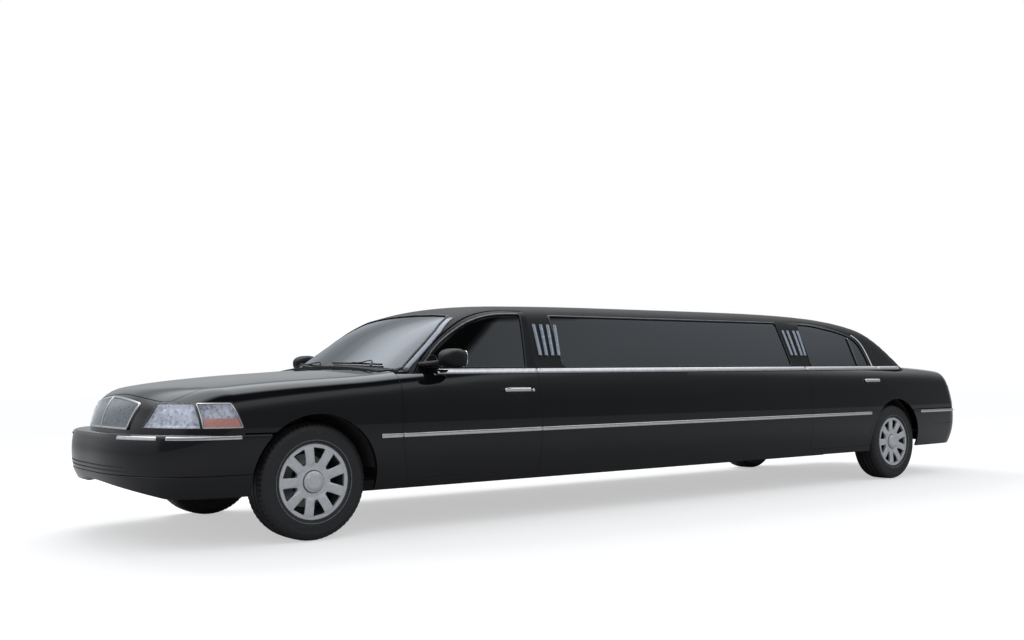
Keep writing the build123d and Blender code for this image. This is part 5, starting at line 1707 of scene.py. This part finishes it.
def seats():
    z0 = SEAT_FLOOR
    for side, y0, y1 in (("driver", 0.075, 0.685), ("passenger", -0.685, -0.075)):
        middle = (y0 + y1) / 2
        tag = "seat_%s_" % side
        cushion((1.445, y0, z0 + 0.10), (1.965, y1, z0 + 0.250), 4, 1, tag + "cushion")
        cushion((1.300, y0 + 0.01, z0 + 0.235), (1.440, y1 - 0.01, z0 + 0.640), 1, 1, tag + "back", 0.01, 10,
                (1.44, 0, z0 + 0.24))
        cushion((1.255, middle - 0.135, z0 + 0.635), (1.345, middle + 0.135, z0 + 0.790), 1, 1, tag + "rest", 0.01)
        line = np.array([(1.36, middle, z0 + 0.05), (1.95, middle, z0 + 0.05)])
        base = sweep(line, upwards(line), [(-0.28, -0.045), (0.28, -0.045), (0.29, -0.02), (0.29, 0.045),
                                           (-0.29, 0.045), (-0.29, -0.02)])
        Shape().add(*base).make(tag + "base", PLASTIC, "body", "dash_plastic", sharp=30)
    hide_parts("front_seats")
    bench = cushion((-2.160, -0.845, z0 + 0.09), (-1.700, 0.845, z0 + 0.245), 9, 1, "lounge_rear_cushion")
    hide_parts("lounge_seats")
    cushion((-2.330, -0.845, z0 + 0.225), (-2.190, 0.845, z0 + 0.600), 9, 1, "lounge_rear_back", 0.01, 14,
            (-2.19, 0, z0 + 0.24))
    cushion((-1.640, -0.640, z0 + 0.09), (0.840, -0.375, z0 + 0.235), 14, 0, "lounge_side_cushion")
    cushion((-1.640, -0.835, z0 + 0.225), (0.840, -0.715, z0 + 0.545), 14, 0, "lounge_side_back", 0.01)
    plinth = Shape()
    under_side = [(-0.23, -0.05), (0.215, -0.05), (0.225, 0.045), (-0.235, 0.045)]
    for y, x0, x1, profile in ((0.0, -2.36, -1.72, bar(0.83, 0.84, -0.05, 0.045)), (-0.615, -1.64, 0.84, under_side)):
        line = np.array([(x0, y, 0.39), (x1, y, 0.39)])
        plinth.add(*sweep(line, upwards(line), profile))
    plinth.make("lounge_plinth", PLASTIC, "body", "dash_plastic", sharp=30)


def steering_wheel():
    lean = math.radians(24)
    direction = (-math.cos(lean), 0.0, math.sin(lean))
    centre = np.array([1.985, 0.370, 0.905]) + 0.007 * np.array(direction)
    ring = [(0.190 + 0.0145 * math.cos(a), 0.0165 * math.sin(a)) for a in np.linspace(0, 2 * math.pi, 17)[:-1]]
    pieces("steering_rim", LEATHER, "steering_wheel", turned(ring, 72, centre, direction),
           replaces="steering_wheel")
    boss = [(0.0005, 0.030), (0.045, 0.026), (0.062, 0.016), (0.064, -0.006), (0.030, -0.012), (0.0005, -0.012)]
    hub = Shape().add(*turned(boss, 48, centre, direction))
    turn = Vector((0, 1, 0)).rotation_difference(Vector(direction)).to_matrix()
    for angle in (0, 90, 180):
        a = math.radians(angle)
        spoke = [centre + np.array(turn @ Vector((math.cos(a) * r, rise, math.sin(a) * r)))
                 for r, rise in ((0.05, 0.006), (0.12, 0.004), (0.185, 0.0))]
        hub.add(*sweep(spline_points(spoke, 10), np.tile(direction, (10, 1)), bar(0.015, 0.012, -0.005, 0.006)))
    hub.make("steering_boss", PLASTIC, "steering_wheel", "dash_plastic")


def cards():
    """Trim on the inner faces of the doors and the fixed flank, with an armrest on each door."""
    foot, top = 0.37, 0.985
    for name, bodies, corners, inset, rest_from in (
            ("front", FRONT_DOORS, [(B_CUT + 0.02, foot), (FRONT_CUT - 0.07, foot), (FRONT_CUT - 0.07, top),
                                    (B_CUT + 0.02, top)], 0.074, B_CUT + 0.14),
            ("rear", REAR_DOORS, [(-2.385, foot), (C_CUT - 0.02, foot), (C_CUT - 0.02, top), (-2.60, top),
                                  (-2.60, 0.80)], 0.074, -2.30),
            ("", BOTH, [(C_CUT + 0.02, foot), (B_CUT - 0.02, foot), (B_CUT - 0.02, top), (C_CUT + 0.02, top)],
             0.050, None)):
        pts = shoot(lower, dense(rounded(corners, 0.03), 0.03), "side")
        panel("door_card_" + name if name else "side_card", LEATHER, bodies, FLANK, pts, slot="seat_leather", grid=0.04,
              thick=0.010, lift=-inset, step=0.03)
        if name:
            line = [(x, 0.70) for x in np.linspace(rest_from, corners[1][0] - 0.12, 20)]
            p, n = surface_path(lower, line, "side", 0.05, lift=-inset - 0.012)
            rest = sweep(p, n, [(-0.028, -0.045), (0.024, -0.050), (0.030, -0.040), (0.030, 0.004), (-0.030, 0.004)])
            pieces("armrest_" + name, LEATHER, bodies, rest)


def dress_nodes():
    """Finishes for the solids that stay."""
    finishes = {"chassis_frame": CHASSIS, "front_suspension": CHASSIS, "underbody": SEALER, "dashboard": PLASTIC,
                "partition": PLASTIC, "driveshaft": STEEL, "exhaust": STEEL, "engine": CAST, "rear_axle": CAST,
                "knuckle_left": CAST, "knuckle_right": CAST}
    for name, mat in finishes.items():
        materials = frame["nodes"][name].data.materials
        for i in range(len(materials)):
            materials[i] = mat
        if not materials:
            materials.append(mat)


# ------------------------------------------------------------------ camera, floor and light
FLOOR_LIFT = 0.50  # added to the floor's brightness for the camera alone
SKY_PLAIN = (0.82, 0.84, 0.87)
SKY_GAIN = 3.2
SKY_TINT = (0.93, 0.97, 1.0)
# brightness of the mirrored sky by its height, 0.5 being level, over the left side and over the right
SKY_AHEAD = ((0.0, 0.063), (0.12, 0.063), (0.24, 0.081), (0.36, 0.131), (0.50, 0.262), (0.60, 0.30), (0.70, 0.29),
             (0.76, 0.06), (0.82, 0.012), (1.0, 0.012))
SKY_BEHIND = ((0.0, 0.125), (0.08, 0.14), (0.16, 0.18), (0.24, 0.20), (0.32, 0.17), (0.40, 0.17), (0.48, 0.26),
              (0.56, 0.55), (0.64, 0.85), (0.75, 1.0), (1.0, 1.0))
LAMP_AT = (0.0, -6.0, 7.0)
LAMP_SIZE = (9.0, 4.0, 500)  # length, width and power


def camera():
    """The view of the reference picture: where it stands, and how it is turned."""
    at = Vector((6.0705, 6.538, 0.945))
    yaw, pitch, roll = math.radians(-127.74), math.radians(3.347), math.radians(-0.305)
    d = Vector((math.cos(pitch) * math.cos(yaw), math.cos(pitch) * math.sin(yaw), math.sin(pitch)))
    r = d.cross(Vector((0, 0, 1))).normalized()
    u = r.cross(d)
    right = math.cos(roll) * r + math.sin(roll) * u
    up = -math.sin(roll) * r + math.cos(roll) * u
    data = bpy.data.cameras.new("camera")
    data.sensor_width = 36.0
    data.lens = 36.0 * 1036.5 / 1024
    data.clip_end = 200
    cam = bpy.data.objects.new("camera", data)
    rot = Matrix((right, up, -d)).transposed().to_4x4()
    cam.matrix_world = Matrix.Translation(at) @ rot
    bpy.context.scene.collection.objects.link(cam)
    bpy.context.scene.camera = cam


def stage():
    """A pale floor that stays white to the camera but mirrors dark, and the sky and lamp over it."""
    bpy.context.scene.view_settings.view_transform = "Standard"
    mesh = bpy.data.meshes.new("floor")
    size = 60.0
    mesh.from_pydata([(-size, -size, 0), (size, -size, 0), (size, size, 0), (-size, size, 0)], [], [(0, 1, 2, 3)])
    floor = bpy.data.objects.new("floor", mesh)
    bpy.context.scene.collection.objects.link(floor)
    mat, tree, bsdf = material("pale_floor")
    camera_ray = (node(tree, "LightPath"), "Is Camera Ray")
    near = ramp(tree, noise(tree, 0.5), "Fac", [(0.3, 0.575), (0.7, 0.59)])
    link(tree, *mix_colours(tree, camera_ray, (0.42, 0.42, 0.425), (near, "Color")), bsdf, "Base Color")
    link(tree, calc(tree, "MULTIPLY", camera_ray, FLOOR_LIFT), "Value", bsdf, "Emission Strength")
    tune(bsdf, Roughness=1.0, Specular_IOR_Level=0.0, Emission_Color=(1, 1, 1, 1))
    mesh.materials.append(mat)

    world = bpy.data.worlds.new("studio")
    bpy.context.scene.world = world
    world.use_nodes = True
    tree = world.node_tree
    split = node(tree, "SeparateXYZ")
    link(tree, node(tree, "TexCoord"), "Generated", split, "Vector")
    sides = [(ramp(tree, split, "Z", [(at, tuple(level * tint for tint in SKY_TINT)) for at, level in levels]), "Color")
             for levels in (SKY_BEHIND, SKY_AHEAD)]
    turn = node(tree, "MapRange", From_Min=-0.12, From_Max=0.16)
    turn.interpolation_type = "SMOOTHSTEP"
    link(tree, split, "Y", turn, "Value")
    gain = node(tree, "VectorMath")
    gain.operation = "SCALE"
    tune(gain, Scale=SKY_GAIN)
    link(tree, *mix_colours(tree, (turn, "Result"), *sides), gain, "Vector")
    ray = node(tree, "LightPath")
    mirrored_sky = mix_colours(tree, (ray, "Is Glossy Ray"), SKY_PLAIN, (gain, "Vector"))
    back = tree.nodes["Background"]
    link(tree, *mix_colours(tree, (ray, "Is Camera Ray"), mirrored_sky, (1.0, 1.0, 1.0)), back, "Color")
    tune(back, Strength=1.0)

    data = bpy.data.lights.new("top", "AREA")
    data.shape = "RECTANGLE"
    data.size, data.size_y, data.energy = LAMP_SIZE
    lamp = bpy.data.objects.new("top", data)
    lamp.visible_glossy = False
    lamp.location = LAMP_AT
    lamp.rotation_euler = (Vector((0, 0, 0.6)) - Vector(LAMP_AT)).to_track_quat("-Z", "Y").to_euler()
    bpy.context.scene.collection.objects.link(lamp)


for build in (camera, fender, front_door, rear_door, body_centre, quarter, hood, trunk_lid, deck_strip, nose_panel,
              grille, headlamp, front_bumper, rear_bumper, tail, roof, glazing, door_frames, slats, mouldings,
              handles, mirrors, cowl_and_wipers, wheels, seats, steering_wheel, cards, dress_nodes, stage):
    build()
